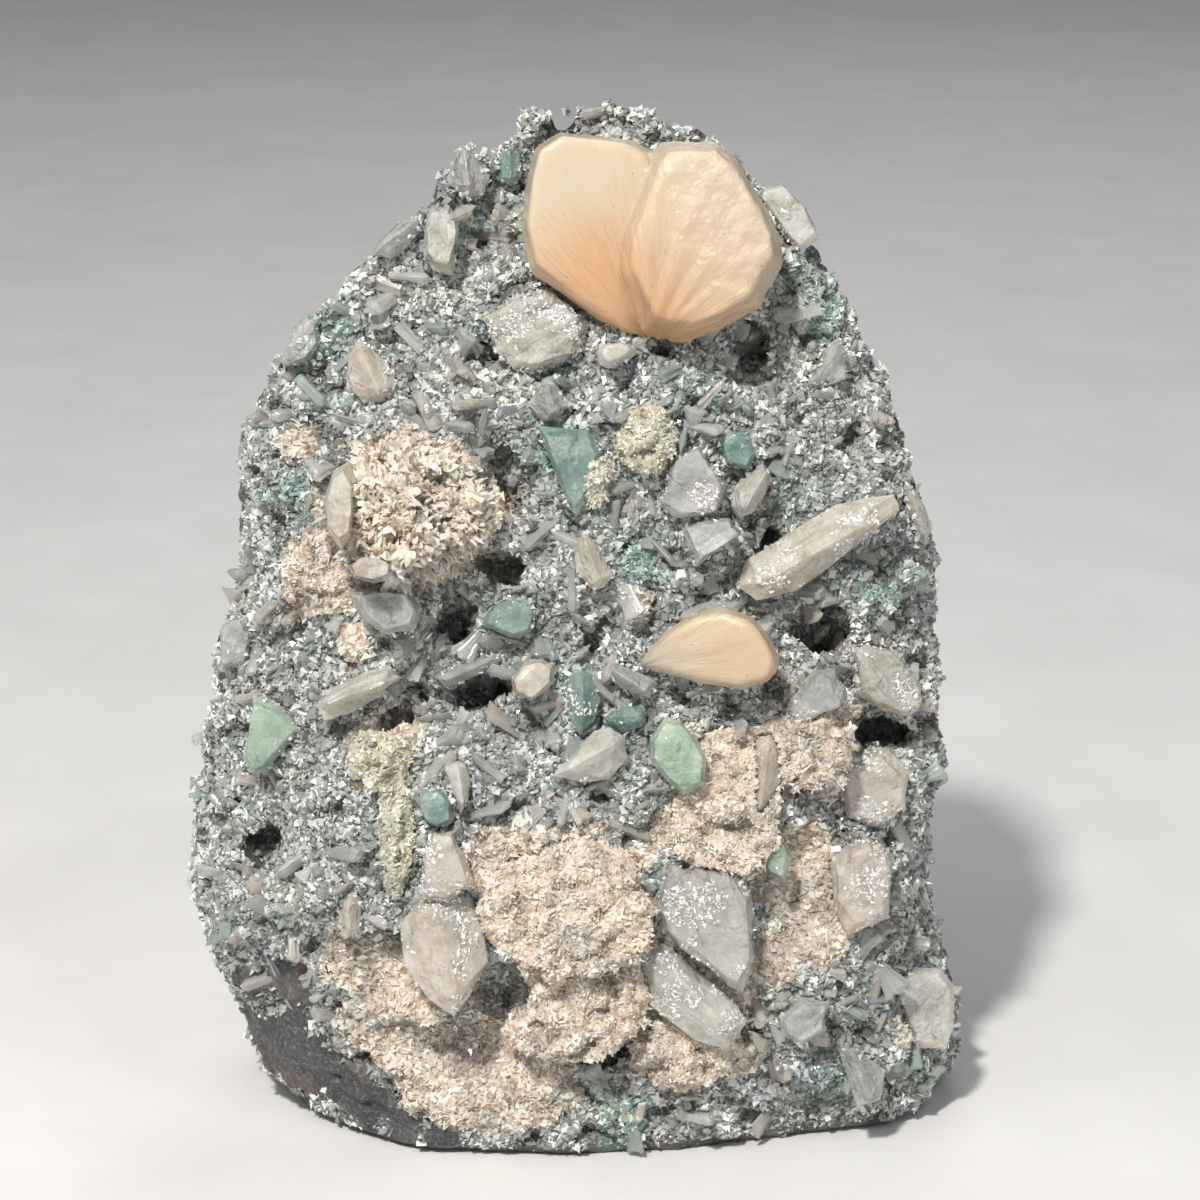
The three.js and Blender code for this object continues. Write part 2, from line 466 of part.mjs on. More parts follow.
// The rough rock: noise, swells, hollows and broken planes, with the sawn base left flat.
function roughRock() {
  const geometry = smoothRock();
  const smoothMesh = new THREE.Mesh(geometry.clone(), twoSided);
  const swells = relief.map((item) => ({ ...item, middle: seatOn(smoothMesh, item.photo) }));
  const position = geometry.getAttribute("position");
  const normal = geometry.getAttribute("normal");
  const planes = fractures.map(({ normal: facing, reach }) => ({
    normal: new THREE.Vector3(...facing).normalize(),
    reach,
  }));
  for (let i = 0; i < position.count; i++) {
    const point = new THREE.Vector3().fromBufferAttribute(position, i);
    const isBase = point.z === 0;
    const outward = new THREE.Vector3().fromBufferAttribute(normal, i);
    if (isBase) outward.setZ(0).normalize();
    const frontShare = THREE.MathUtils.smoothstep(-outward.y, ...roughness.turnsToFront);
    let out = THREE.MathUtils.lerp(
      roughnessAt(point, roughness.back),
      roughnessAt(point, roughness.front),
      frontShare,
    );
    for (const swell of swells) {
      const near = point.distanceTo(swell.middle) / swell.radius;
      out += swell.out * Math.exp(-near * near);
    }
    point.addScaledVector(outward, isBase ? out * roughness.atBase : out);
    for (const plane of planes) {
      const past = point.dot(plane.normal) - plane.reach;
      if (past > 0) point.addScaledVector(plane.normal, -past * fractureDepth);
    }
    point.z = isBase ? 0 : Math.max(point.z, rockMesh.leastHeight);
    position.setXYZ(i, point.x, point.y, point.z);
  }
  geometry.computeVertexNormals();
  return geometry;
}

function solidFrom(geometry) {
  const bare = geometry.index ? geometry.toNonIndexed() : geometry.clone();
  bare.deleteAttribute("normal");
  bare.deleteAttribute("uv");
  const merged = mergeVertices(bare, weldDistance);
  const vertProperties = merged.getAttribute("position").array;
  const triVerts = new Uint32Array(merged.index.array);
  return new wasm.Manifold(new wasm.Mesh({ numProp: 3, vertProperties, triVerts }));
}

function geometryFrom(solid) {
  const mesh = solid.getMesh();
  const stride = mesh.numProp;
  const points = [];
  for (let i = 0; i < mesh.numVert; i++) {
    points.push(new THREE.Vector3(...mesh.vertProperties.subarray(i * stride, i * stride + 3)));
  }
  const geometry = new THREE.BufferGeometry().setFromPoints(points).setIndex([...mesh.triVerts]);
  geometry.computeVertexNormals();
  return geometry;
}

function biggestPart(solid) {
  return solid.decompose().reduce((best, part) => (part.volume() > best.volume() ? part : best));
}

// The same shape with every face moved out by the clearance, for the socket around it.
// A sharp corner moves further than a blunt one, so that its faces keep the whole clearance.
function grown(geometry) {
  const bare = new THREE.BufferGeometry().setAttribute("position", geometry.getAttribute("position"));
  if (geometry.index) bare.setIndex(geometry.index);
  const merged = mergeVertices(bare, weldDistance);
  const position = merged.getAttribute("position");
  const corners = [];
  for (let i = 0; i < position.count; i++) corners.push(new THREE.Vector3().fromBufferAttribute(position, i));
  const faceNormals = corners.map(() => []);
  const index = merged.index.array;
  for (let i = 0; i < index.length; i += 3) {
    const [a, b, c] = [index[i], index[i + 1], index[i + 2]];
    const normal = new THREE.Triangle(corners[a], corners[b], corners[c]).getNormal(new THREE.Vector3());
    for (const corner of [a, b, c]) faceNormals[corner].push(normal);
  }
  corners.forEach((corner, i) => {
    const outward = faceNormals[i].reduce((sum, normal) => sum.add(normal), new THREE.Vector3()).normalize();
    const least = Math.min(...faceNormals[i].map((normal) => normal.dot(outward)));
    const reach = socketGap.clearance / Math.max(least, 1 / socketGap.furthest);
    const moved = corner.clone().addScaledVector(outward, reach);
    position.setXYZ(i, moved.x, moved.y, moved.z);
  });
  return merged;
}

// A crystal: the traced outline, with a smaller facet or a ridge in front and a smaller foot in the rock.
function crystal(rockSurface, { outline, rise, sink, face, tilt, ridge }) {
  const sum = outline.reduce(([x, y], corner) => [x + corner[0], y + corner[1]]);
  const middle = sum.map((total) => total / outline.length);
  const seat = seatOn(rockSurface, middle);
  const scale = (millimetresPerPixel * eye.distanceTo(seat)) / view.distance;
  const ring = (traced, share, level, slope = [0, 0]) =>
    traced.map(([x, y]) => {
      const right = (x - middle[0]) * scale * share;
      const above = (middle[1] - y) * scale * share;
      return seat
        .clone()
        .addScaledVector(pictureRight, right)
        .addScaledVector(pictureUp, above)
        .addScaledVector(towardsViewer, level + right * slope[0] + above * slope[1]);
    });
  const foot = ring(outline, crystalBody.footShare, -sink).filter((corner, k) => k % 2 === 0);
  const sides = ring(outline, 1, rise * crystalBody.sideEdge);
  const front = ridge ? ring(ridge, 1, rise) : ring(outline, face, rise, tilt);
  return new ConvexGeometry([...foot, ...sides, ...front]);
}

// A rough lump: a ball whose corners stand in and out in turn, squashed to its half sizes.
function lump(rockSurface, { photo, half, out }, detail, spike, turnDeg = 0) {
  const seat = seatOn(rockSurface, photo).addScaledVector(towardsViewer, out);
  const facets = new THREE.IcosahedronGeometry(1, detail).getAttribute("position");
  const ball = mergeVertices(new THREE.BufferGeometry().setAttribute("position", facets), weldDistance);
  const position = ball.getAttribute("position");
  const turn = THREE.MathUtils.degToRad(turnDeg);
  const random = randomFrom(photo[0] * view.framePixels + photo[1]);
  for (let i = 0; i < position.count; i++) {
    const point = new THREE.Vector3().fromBufferAttribute(position, i);
    point.multiplyScalar(1 + spike * (random() * 2 - 1));
    const right = point.x * half[0] * Math.cos(turn) + point.y * half[1] * Math.sin(turn);
    const above = -point.x * half[0] * Math.sin(turn) + point.y * half[1] * Math.cos(turn);
    const placed = seat
      .clone()
      .addScaledVector(pictureRight, right)
      .addScaledVector(pictureUp, above)
      .addScaledVector(towardsViewer, point.z * half[2]);
    position.setXYZ(i, placed.x, placed.y, placed.z);
  }
  return ball;
}

// Small blocky grains scattered over the crystal face, pointing away from it at odd angles.
function grains(rockSurface) {
  const random = randomFrom(grainScatter.seed);
  const between = (low, high) => low + (high - low) * random();
  const made = [];
  while (made.length < grainScatter.count) {
    const seat = sightOn(rockSurface, [
      between(grainScatter.left, grainScatter.right),
      between(grainScatter.top, grainScatter.bottom),
    ]);
    const width = between(grainScatter.smallest, grainScatter.largest);
    const sway = new THREE.Vector3(between(-grainScatter.sway, grainScatter.sway), 0, 0);
    sway.z = between(-grainScatter.sway, grainScatter.sway);
    const turn = new THREE.Quaternion().setFromUnitVectors(up, towardsViewer.clone().add(sway).normalize());
    const spin = between(0, Math.PI);
    if (!seat) continue;
    const length = width * grainScatter.stretch;
    const tip = width * grainScatter.tip;
    const foot = width * grainScatter.foot;
    const prism = new THREE.CylinderGeometry(tip, foot, length, 4, 1);
    prism.rotateX(Math.PI / 2).rotateZ(spin).applyQuaternion(turn).translate(seat.x, seat.y, seat.z);
    made.push(prism);
  }
  return made;
}

// Rock first, then the crystals, each clear of those before it.
const roughGeometry = roughRock();
const rockSurface = new THREE.Mesh(roughGeometry, twoSided);
const join = (solids) => solids.reduce((all, next) => all.add(next));
const plates = fusedPlates.map((outline) => crystal(rockSurface, { ...fusedPlate, outline }));
const platesInRock = plates.map(solidFrom);
const grainsInRock = grains(rockSurface).map(solidFrom);
let rockSolid = join([solidFrom(roughGeometry), ...platesInRock, ...grainsInRock]);
for (const vug of vugs) {
  const hollow = lump(rockSurface, { ...vug, out: 0 }, vugWalls.detail, vugWalls.spike, vug.turnDeg);
  rockSolid = rockSolid.subtract(solidFrom(hollow));
}

// Each piece is the closed shapes that it is joined from.
const pieces = [
  ...grownTogether.map((piece) => ({
    ...piece,
    shapes: piece.lobes.map((lobe) => crystal(rockSurface, lobe)),
  })),
  ...crystals.map((piece) => ({ ...piece, shapes: [crystal(rockSurface, piece)] })),
  ...crusts.map((piece) => ({
    ...piece,
    shapes: piece.lumps.map((item) => lump(rockSurface, item, piece.detail, piece.spike)),
  })),
];

// A piece gives way to the sockets of those before it, and then gets a socket of its own in the rock.
const sockets = [];
for (const piece of pieces) {
  const whole = join(piece.shapes.map(solidFrom));
  piece.solid = biggestPart(sockets.reduce((rest, socket) => rest.subtract(socket), whole));
  const socket = join(piece.shapes.map((shape) => solidFrom(grown(shape))));
  sockets.push(socket);
  rockSolid = rockSolid.subtract(socket);
}
rockSolid = biggestPart(rockSolid);

function namedMesh(name, finish, solid) {
  const material = new THREE.MeshStandardMaterial({ ...finishes[finish], metalness: 0, flatShading: true });
  const mesh = new THREE.Mesh(geometryFrom(solid), material);
  mesh.name = name;
  return mesh;
}

const specimen = new THREE.Group();
specimen.add(namedMesh("matrix_rock", "rock", rockSolid));
for (const piece of pieces) specimen.add(namedMesh(piece.name, piece.finish, piece.solid));

// The origin is the middle of the whole specimen's box, at the sawn base.
const box = new THREE.Box3().setFromObject(specimen);
specimen.position.set(-(box.min.x + box.max.x) / 2, -(box.min.y + box.max.y) / 2, -box.min.z);

export default specimen;
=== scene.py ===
import json
import math
import random

import bmesh
import bpy
import numpy as np
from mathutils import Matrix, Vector, noise
from mathutils.bvhtree import BVHTree


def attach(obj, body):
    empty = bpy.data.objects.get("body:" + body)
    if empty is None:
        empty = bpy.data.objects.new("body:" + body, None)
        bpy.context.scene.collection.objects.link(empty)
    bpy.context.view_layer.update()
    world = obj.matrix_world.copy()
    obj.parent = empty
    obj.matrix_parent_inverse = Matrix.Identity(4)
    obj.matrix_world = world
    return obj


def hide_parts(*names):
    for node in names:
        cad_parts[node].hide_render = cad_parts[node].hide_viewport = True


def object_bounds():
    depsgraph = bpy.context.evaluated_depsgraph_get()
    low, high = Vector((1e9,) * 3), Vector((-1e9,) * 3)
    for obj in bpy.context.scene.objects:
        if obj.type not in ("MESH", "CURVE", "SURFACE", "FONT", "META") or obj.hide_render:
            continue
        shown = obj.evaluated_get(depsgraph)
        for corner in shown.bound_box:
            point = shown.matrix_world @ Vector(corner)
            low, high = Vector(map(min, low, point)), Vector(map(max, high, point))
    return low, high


# Green apophyllite with heulandite and stilbite on a hump of basalt, dressed around its solids.
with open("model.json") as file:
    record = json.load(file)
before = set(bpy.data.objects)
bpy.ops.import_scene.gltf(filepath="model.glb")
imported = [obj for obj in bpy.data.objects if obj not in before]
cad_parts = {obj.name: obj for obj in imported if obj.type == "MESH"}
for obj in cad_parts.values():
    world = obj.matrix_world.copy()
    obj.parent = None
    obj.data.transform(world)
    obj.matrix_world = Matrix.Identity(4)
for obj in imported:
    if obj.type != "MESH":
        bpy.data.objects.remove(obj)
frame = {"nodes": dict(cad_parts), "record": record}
cadLow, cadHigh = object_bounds()
nodes = frame["nodes"]
slotOf = {row["node"]: row["material_slot"] for row in frame["record"]["subparts"]}
mm = 0.001
print("stage: frame loaded,", len(nodes), "nodes")

# The photograph's view. Lengths in millimetres, pixels of the square photograph.
photoView = {
    "target": (5.747, 8.788, 118.0),
    "distance": 750.0,
    "elevation": 18.0,
    "frameHeight": 275.0,
    "pixels": 1200,
    "sensor": 36.0,
}
elevation = math.radians(photoView["elevation"])
towardsViewer = Vector((0, -math.cos(elevation), math.sin(elevation)))
pictureUp = Vector((0, math.sin(elevation), math.cos(elevation)))
pictureRight = Vector((1, 0, 0))
eyePlace = (Vector(photoView["target"]) + towardsViewer * photoView["distance"]) * mm


def makeCamera():
    data = bpy.data.cameras.new("photo_camera")
    data.sensor_width = photoView["sensor"]
    data.lens = photoView["sensor"] * photoView["distance"] / photoView["frameHeight"]
    data.clip_start = 0.01
    data.clip_end = 50
    holder = bpy.data.objects.new("photo_camera", data)
    holder.location = eyePlace
    holder.rotation_mode = "QUATERNION"
    holder.rotation_quaternion = (-towardsViewer).to_track_quat("-Z", "Y")
    bpy.context.scene.collection.objects.link(holder)
    bpy.context.scene.camera = holder


# Direction from the eye through a pixel of the photograph.
def sightLine(pixel):
    scale = photoView["frameHeight"] / photoView["pixels"]
    half = photoView["pixels"] / 2
    across = pictureRight * (pixel[0] - half) * scale
    high = pictureUp * (half - pixel[1]) * scale
    return ((Vector(photoView["target"]) + across + high) * mm - eyePlace).normalized()


# Pixel of the photograph for each row of an array of points.
def pixelsOf(points):
    offset = points - np.array(eyePlace)
    depth = -(offset @ np.array(towardsViewer))
    perPixel = photoView["frameHeight"] / photoView["pixels"] / photoView["distance"]
    half = photoView["pixels"] / 2
    across = offset @ np.array(pictureRight) / depth / perPixel + half
    down = half - offset @ np.array(pictureUp) / depth / perPixel
    return np.stack([across, down], 1)


# Mesh helpers
weldGap = 0.00001


def newObject(name, mesh):
    made = bpy.data.objects.new(name, mesh)
    bpy.context.scene.collection.objects.link(made)
    return made


def mergedCopy(node, name):
    mesh = nodes[node].data.copy()
    mesh.name = name
    mesh.materials.clear()
    made = newObject(name, mesh)
    weld(made)
    return made


def weld(made):
    made.modifiers.new("weld", "WELD").merge_threshold = weldGap
    settle(made)


# Turns live modifiers into plain mesh.
def settle(made):
    graph = bpy.context.evaluated_depsgraph_get()
    mesh = bpy.data.meshes.new_from_object(made.evaluated_get(graph), depsgraph=graph)
    old = made.data
    made.modifiers.clear()
    made.data = mesh
    bpy.data.meshes.remove(old)


def remesh(made, voxel, smoothSteps=0):
    voxels = made.modifiers.new("voxels", "REMESH")
    voxels.mode = "VOXEL"
    voxels.voxel_size = voxel * mm
    if smoothSteps:
        soft = made.modifiers.new("soft", "SMOOTH")
        soft.iterations = smoothSteps
        soft.factor = 0.5
    settle(made)


def pointsOf(mesh):
    values = np.empty(len(mesh.vertices) * 3, np.float32)
    mesh.vertices.foreach_get("co", values)
    return values.reshape(-1, 3).astype(float)


def normalsOf(mesh):
    values = np.empty(len(mesh.vertices) * 3, np.float32)
    mesh.vertex_normals.foreach_get("vector", values)
    return values.reshape(-1, 3).astype(float)


def setPoints(mesh, points):
    mesh.vertices.foreach_set("co", points.astype(np.float32).ravel())
    mesh.update()


def storeFloat(mesh, name, values):
    kept = mesh.attributes.get(name) or mesh.attributes.new(name, "FLOAT", "POINT")
    kept.data.foreach_set("value", np.asarray(values, np.float32))


def storeVector(mesh, name, values):
    kept = mesh.attributes.get(name) or mesh.attributes.new(name, "FLOAT_VECTOR", "POINT")
    kept.data.foreach_set("vector", np.asarray(values, np.float32).ravel())


def smoothStep(low, high, values):
    share = np.clip((values - low) / (high - low), 0, 1)
    return share * share * (3 - 2 * share)


# Noise for each row of three coordinates, from about -1 to 1.
def noiseOf(rows):
    return np.array([noise.noise(Vector(row)) for row in rows])


# Noise at each point: size is the wavelength in millimetres.
def noiseAt(points, size, shift=0.0):
    return noiseOf(points / (size * mm) + shift)


# Distance to the nearest and second nearest cell centre, in cell widths.
def cellsAt(points, size, shift=0.0):
    scaled = points / (size * mm) + shift
    found = [noise.voronoi(Vector(p))[0] for p in scaled]
    return np.array([f[0] for f in found]), np.array([f[1] for f in found])


def triangleCount(mesh):
    return sum(len(p.vertices) - 2 for p in mesh.polygons)


def flatShade(mesh, isFlat=True):
    mesh.polygons.foreach_set("use_smooth", [not isFlat] * len(mesh.polygons))


# Material helpers
def newMaterial(name):
    material = bpy.data.materials.new(name)
    material.use_nodes = True
    tree = material.node_tree
    tree.nodes.clear()
    output = tree.nodes.new("ShaderNodeOutputMaterial")
    shader = tree.nodes.new("ShaderNodeBsdfPrincipled")
    tree.links.new(shader.outputs["BSDF"], output.inputs["Surface"])
    return material, tree, shader


def addNode(tree, kind, settings=None, **inputs):
    node = tree.nodes.new(kind)
    for key, value in (settings or {}).items():
        setattr(node, key, value)
    for key, value in inputs.items():
        socket = node.inputs[key.replace("_", " ")]
        if isinstance(value, bpy.types.NodeSocket):
            tree.links.new(value, socket)
        else:
            socket.default_value = value
    return node


def attribute(tree, name, output="Fac"):
    return addNode(tree, "ShaderNodeAttribute", {"attribute_name": name}).outputs[output]


def mixColour(tree, share, first, second, blend="MIX"):
    node = tree.nodes.new("ShaderNodeMix")
    node.data_type = "RGBA"
    node.blend_type = blend
    for socket, value in ((node.inputs[0], share), (node.inputs[6], first), (node.inputs[7], second)):
        if isinstance(value, bpy.types.NodeSocket):
            tree.links.new(value, socket)
        else:
            socket.default_value = value
    return node.outputs[2]


# Mixes in the colour times a shade.
def shaded(tree, share, colour, shade):
    return mixColour(tree, share, colour, mixColour(tree, 1.0, colour, shade, "MULTIPLY"))


def ramp(tree, value, stops):
    node = tree.nodes.new("ShaderNodeValToRGB")
    elements = node.color_ramp.elements
    while len(elements) > 1:
        elements.remove(elements[-1])
    elements[0].position, elements[0].color = stops[0][0], (*stops[0][1], 1)
    for place, colour in stops[1:]:
        elements.new(place).color = (*colour, 1)
    tree.links.new(value, node.inputs["Fac"])
    return node.outputs["Color"]


def mapRange(tree, value, fromLow, fromHigh, toLow, toHigh):
    node = tree.nodes.new("ShaderNodeMapRange")
    tree.links.new(value, node.inputs["Value"])
    limits = {"From Min": fromLow, "From Max": fromHigh, "To Min": toLow, "To Max": toHigh}
    for key, number in limits.items():
        node.inputs[key].default_value = number
    return node.outputs["Result"]


# An attribute that runs from 0 to 1, brought to 0 to a highest value.
def shareOf(tree, name, highest):
    return mapRange(tree, attribute(tree, name), 0, 1, 0, highest)


def product(tree, first, second):
    node = addNode(tree, "ShaderNodeMath", {"operation": "MULTIPLY"})
    tree.links.new(first, node.inputs[0])
    tree.links.new(second, node.inputs[1])
    return node.outputs[0]


def objectPlace(tree):
    return addNode(tree, "ShaderNodeTexCoord").outputs["Object"]


# Noise texture on object coordinates, its scale given as a wavelength in millimetres.
def noiseTexture(tree, size, detail=4.0, roughness=0.6, vector=None):
    source = vector if vector is not None else objectPlace(tree)
    node = addNode(tree, "ShaderNodeTexNoise", None, Vector=source)
    node.inputs["Scale"].default_value = 1 / (size * mm) if vector is None else 1 / size
    node.inputs["Detail"].default_value = detail
    node.inputs["Roughness"].default_value = roughness
    return node.outputs["Fac"]


def bump(tree, height, distance, strength=1.0, normal=None):
    node = addNode(tree, "ShaderNodeBump", None, Height=height)
    node.inputs["Distance"].default_value = distance * mm
    node.inputs["Strength"].default_value = strength
    if normal is not None:
        tree.links.new(normal, node.inputs["Normal"])
    return node.outputs["Normal"]


makeCamera()


# Where each finish of the druse lies: middles on the photograph and radii, in pixels of the photograph.
creamPatches = [
    (355, 955, 42), (385, 1025, 52), (440, 1085, 48), (500, 1110, 40), (520, 1055, 55), (560, 1010, 55),
    (600, 955, 62), (570, 880, 70), (505, 862, 42), (620, 880, 40), (632, 1000, 40), (420, 985, 50),
    (470, 1040, 50), (545, 1095, 38), (690, 1045, 50), (735, 1058, 24), (645, 1050, 30),
    (700, 762, 42), (735, 800, 48), (795, 738, 50), (850, 718, 26), (785, 862, 50), (722, 858, 34),
    (868, 800, 40), (815, 925, 42), (770, 955, 34), (835, 775, 34), (680, 820, 28),
    (415, 512, 92), (322, 572, 44), (300, 590, 26), (298, 442, 20), (352, 640, 22),
    (665, 940, 20), (690, 958, 20), (715, 976, 20), (735, 992, 18),
    (647, 440, 26), (596, 480, 17), (385, 752, 40), (398, 830, 22), (640, 600, 14), (905, 1025, 20),
]
tealPatches = [
    (505, 165, 34), (560, 445, 40), (735, 450, 34), (515, 615, 34), (590, 690, 40), (625, 715, 34),
    (440, 800, 26), (650, 880, 22), (270, 730, 36), (830, 300, 40), (700, 120, 30), (640, 560, 30),
    (470, 225, 24), (290, 500, 34), (880, 590, 34), (700, 400, 30), (780, 500, 24), (840, 1090, 40),
    (620, 1120, 36), (330, 330, 30),
]
# Hollows: sunk a little into the rock, and their rock and grains darkened with painted shade.
shadedHollowPatches = [
    (512, 484, 20), (500, 566, 24), (456, 624, 26), (474, 692, 34), (392, 722, 20), (262, 844, 26),
    (884, 728, 26), (815, 634, 30), (773, 549, 18), (748, 345, 28), (606, 1056, 24), (500, 352, 18),
    (592, 652, 14), (886, 446, 14), (323, 445, 20), (420, 705, 18), (490, 700, 24), (720, 1066, 12),
    (905, 870, 10), (560, 640, 12),
]
# Bare rock at the lower left, and the iron stains.
barePatches = [
    (255, 1040, 46), (300, 1060, 62), (350, 1095, 46), (290, 985, 34), (400, 1125, 26), (245, 985, 26),
    (440, 1140, 18), (934, 700, 12), (936, 740, 14), (936, 780, 14), (930, 830, 10), (926, 650, 8),
]
redPatches = [
    (310, 980, 20), (338, 1008, 16), (352, 1032, 16), (300, 960, 14), (410, 1110, 14), (752, 338, 16),
    (936, 730, 20), (937, 790, 16), (892, 545, 12), (886, 425, 8), (330, 975, 12),
]

rockLook = {
    "voxel": 1.3,
    "lumpSize": 13.0,
    "lumpOut": 2.0,
    "knobSize": 5.6,
    "knobOut": 3.6,
    "beadSize": 2.4,
    "beadOut": 1.2,
    "pitSize": 7.5,
    "pitIn": 4.0,
    "darkIn": 0.8,
    "sink": 0.7,
    "backSize": 16.0,
    "backOut": 1.9,
    "ridgeSize": 8.0,
    "ridgeOut": 2.4,
    "holeSize": 6.5,
    "holeIn": 1.2,
}


def surfaceTree(mesh):
    return BVHTree.FromPolygons([v.co for v in mesh.vertices], [p.vertices[:] for p in mesh.polygons])


# How much each point lies in a list of patches, with edges broken up by noise.
def shareIn(points, patches, tree, wobble, edge=(1.12, 0.78)):
    share = np.zeros(len(points))
    perPixel = photoView["frameHeight"] / photoView["pixels"] * mm
    for x, y, radius in patches:
        hit = tree.ray_cast(eyePlace, sightLine((x, y)))[0]
        if hit is None:
            continue
        away = np.linalg.norm(points - np.array(hit), axis=1) / (radius * perPixel)
        share = np.maximum(share, smoothStep(edge[0], edge[1], away + wobble))
    return share


# Corners and faces of several solids together.
def solidsOf(names):
    corners, faces = [], []
    for name in names:
        start = len(corners)
        corners += [v.co[:] for v in nodes[name].data.vertices]
        faces += [[start + k for k in p.vertices] for p in nodes[name].data.polygons]
    return corners, faces


def makeRock():
    rock = mergedCopy("matrix_rock", "rock_matrix")
    remesh(rock, rockLook["voxel"])
    mesh = rock.data
    tree = surfaceTree(mesh)
    points, normals = pointsOf(mesh), normalsOf(mesh)
    wobble = noiseAt(points, 9.0) * 0.35 + noiseAt(points, 3.5, 5.0) * 0.25
    cream = shareIn(points, creamPatches, tree, wobble)
    teal = shareIn(points, tealPatches, tree, wobble * 1.6, (1.4, 0.5))
    dark = shareIn(points, shadedHollowPatches, tree, wobble * 0.8)
    bare = shareIn(points, barePatches, tree, wobble * 0.7)
    red = shareIn(points, redPatches, tree, wobble * 2.0, (1.3, 0.4))
    # the druse covers what looks to the front, and thins out over the sides
    facing = -normals[:, 1] + 0.25 * normals[:, 2]
    facing = facing + noiseAt(points, 14.0, 2.0) * 0.7 + noiseAt(points, 4.0, 3.0) * 0.4
    edge = points[:, 1] - 0.06 * points[:, 2]
    edge = edge + noiseAt(points, 17.0, 7.0) * 0.016 + noiseAt(points, 5.0, 2.0) * 0.007
    front = np.maximum(smoothStep(-0.25, 0.15, facing), smoothStep(0.3, 0.6, -normals[:, 1]))
    front *= smoothStep(0.018, 0.002, edge)
    druse = front * smoothStep(0.0018, 0.0036, points[:, 2]) * (1 - bare)
    # seats of the larger crystals stay clear
    seats = BVHTree.FromPolygons(*solidsOf([name for name in nodes if name != "matrix_rock"]))
    seatGap = np.full(len(points), 1.0)
    for i, p in enumerate(points):
        found = seats.find_nearest(Vector(p), 0.0012)
        if found[0] is not None:
            seatGap[i] = found[3]
    seated = smoothStep(0.0012, 0.0007, seatGap)
    hidden = smoothStep(0.0006, 0.0004, seatGap)
    knobs = 0.5 - cellsAt(points, rockLook["knobSize"])[0]
    beads = 0.5 - cellsAt(points, rockLook["beadSize"], 3.0)[0]
    hollows = noiseAt(points, rockLook["pitSize"], 3.0) + 0.25 * noiseAt(points, 2.7, 12.0)
    pits = smoothStep(0.12, 0.5, hollows)
    rough = (
        noiseAt(points, rockLook["lumpSize"], 1.0) * rockLook["lumpOut"]
        + knobs * rockLook["knobOut"] * (1 - 0.35 * cream)
        + beads * rockLook["beadOut"]
        - pits * rockLook["pitIn"] * (1 - 0.75 * cream)
        - dark * rockLook["darkIn"]
        - rockLook["sink"]
    )
    # broken rock with ridges and small round holes on the back and sides
    holes = smoothStep(0.3, 0.14, cellsAt(points, rockLook["holeSize"], 11.0)[0])
    holes *= smoothStep(-0.1, 0.25, noiseAt(points, 15.0, 4.0))
    ridges = 0.3 - np.abs(noiseAt(points, rockLook["ridgeSize"], 9.0))
    plain = (
        noiseAt(points, rockLook["backSize"], 6.0) * rockLook["backOut"]
        + ridges * rockLook["ridgeOut"]
        + noiseAt(points, 2.6, 8.0) * 0.4
        - holes * rockLook["holeIn"]
        - 0.6
    )
    out = (rough * druse + plain * (1 - druse)) * (1 - seated)
    isBase = points[:, 2] < 0.0006
    out[isBase] = 0
    low = smoothStep(0.0, 0.006, points[:, 2])
    moved = points + normals * (out * low)[:, None] * mm
    moved[:, 2] = np.maximum(moved[:, 2], 0)
    setPoints(mesh, moved)
    cover = druse * (1 - hidden) * (1 - 0.35 * dark) * (1 - 0.4 * pits * (1 - cream))
    # painted shade: the deep share darkens grains in pits, between the knobs and in the hollows
    deep = np.clip(pits * 0.8 + smoothStep(0.1, -0.3, knobs) * 0.5, 0, 1) * (1 - 0.6 * cream) + 0.3 * dark
    # larger plates keep away from the sides and the top of the object
    inner = cover * smoothStep(0.001, 0.008, cadHigh[0] - np.abs(points[:, 0]))
    inner *= smoothStep(0.0, 0.007, cadHigh[2] - points[:, 2]) * smoothStep(0.003, 0.01, points[:, 2])
    inner *= (1 - cream) * smoothStep(0.25, 0.7, facing) * smoothStep(0.4, 0.1, bare)
    shares = {
        "cream": cream * druse, "teal": teal, "dark": dark, "red": red, "druse": druse,
        "cover": cover, "deep": deep, "inner": inner, "holes": holes,
    }
    for name, values in shares.items():
        storeFloat(mesh, name, values)
    print("stage: rock,", triangleCount(mesh), "triangles")
    return rock


rock = makeRock()


# Druse: tiny crystals on the rock and the crusts, placed by one Geometry Nodes tree.
def grainShape(name, sides, rings, tip=None, flat=1.0, lean=0.0):
    corners, faces = [], [tuple(range(sides))]
    for level, radius in rings:
        for k in range(sides):
            turn = 2 * math.pi * (k + 0.5) / sides
            corners.append((radius * math.cos(turn), radius * math.sin(turn) * flat, level))
    top = (len(rings) - 1) * sides
    for k in range(sides):
        after = (k + 1) % sides
        for low in range(0, top, sides):
            faces.append((low + k, low + after, low + sides + after, low + sides + k))
    if tip is None:
        faces.append(tuple(range(top, top + sides)))
    else:
        corners.append((lean, 0, tip))
        faces += [(top + k, top + (k + 1) % sides, top + sides) for k in range(sides)]
    return closedShape(name, corners, faces)


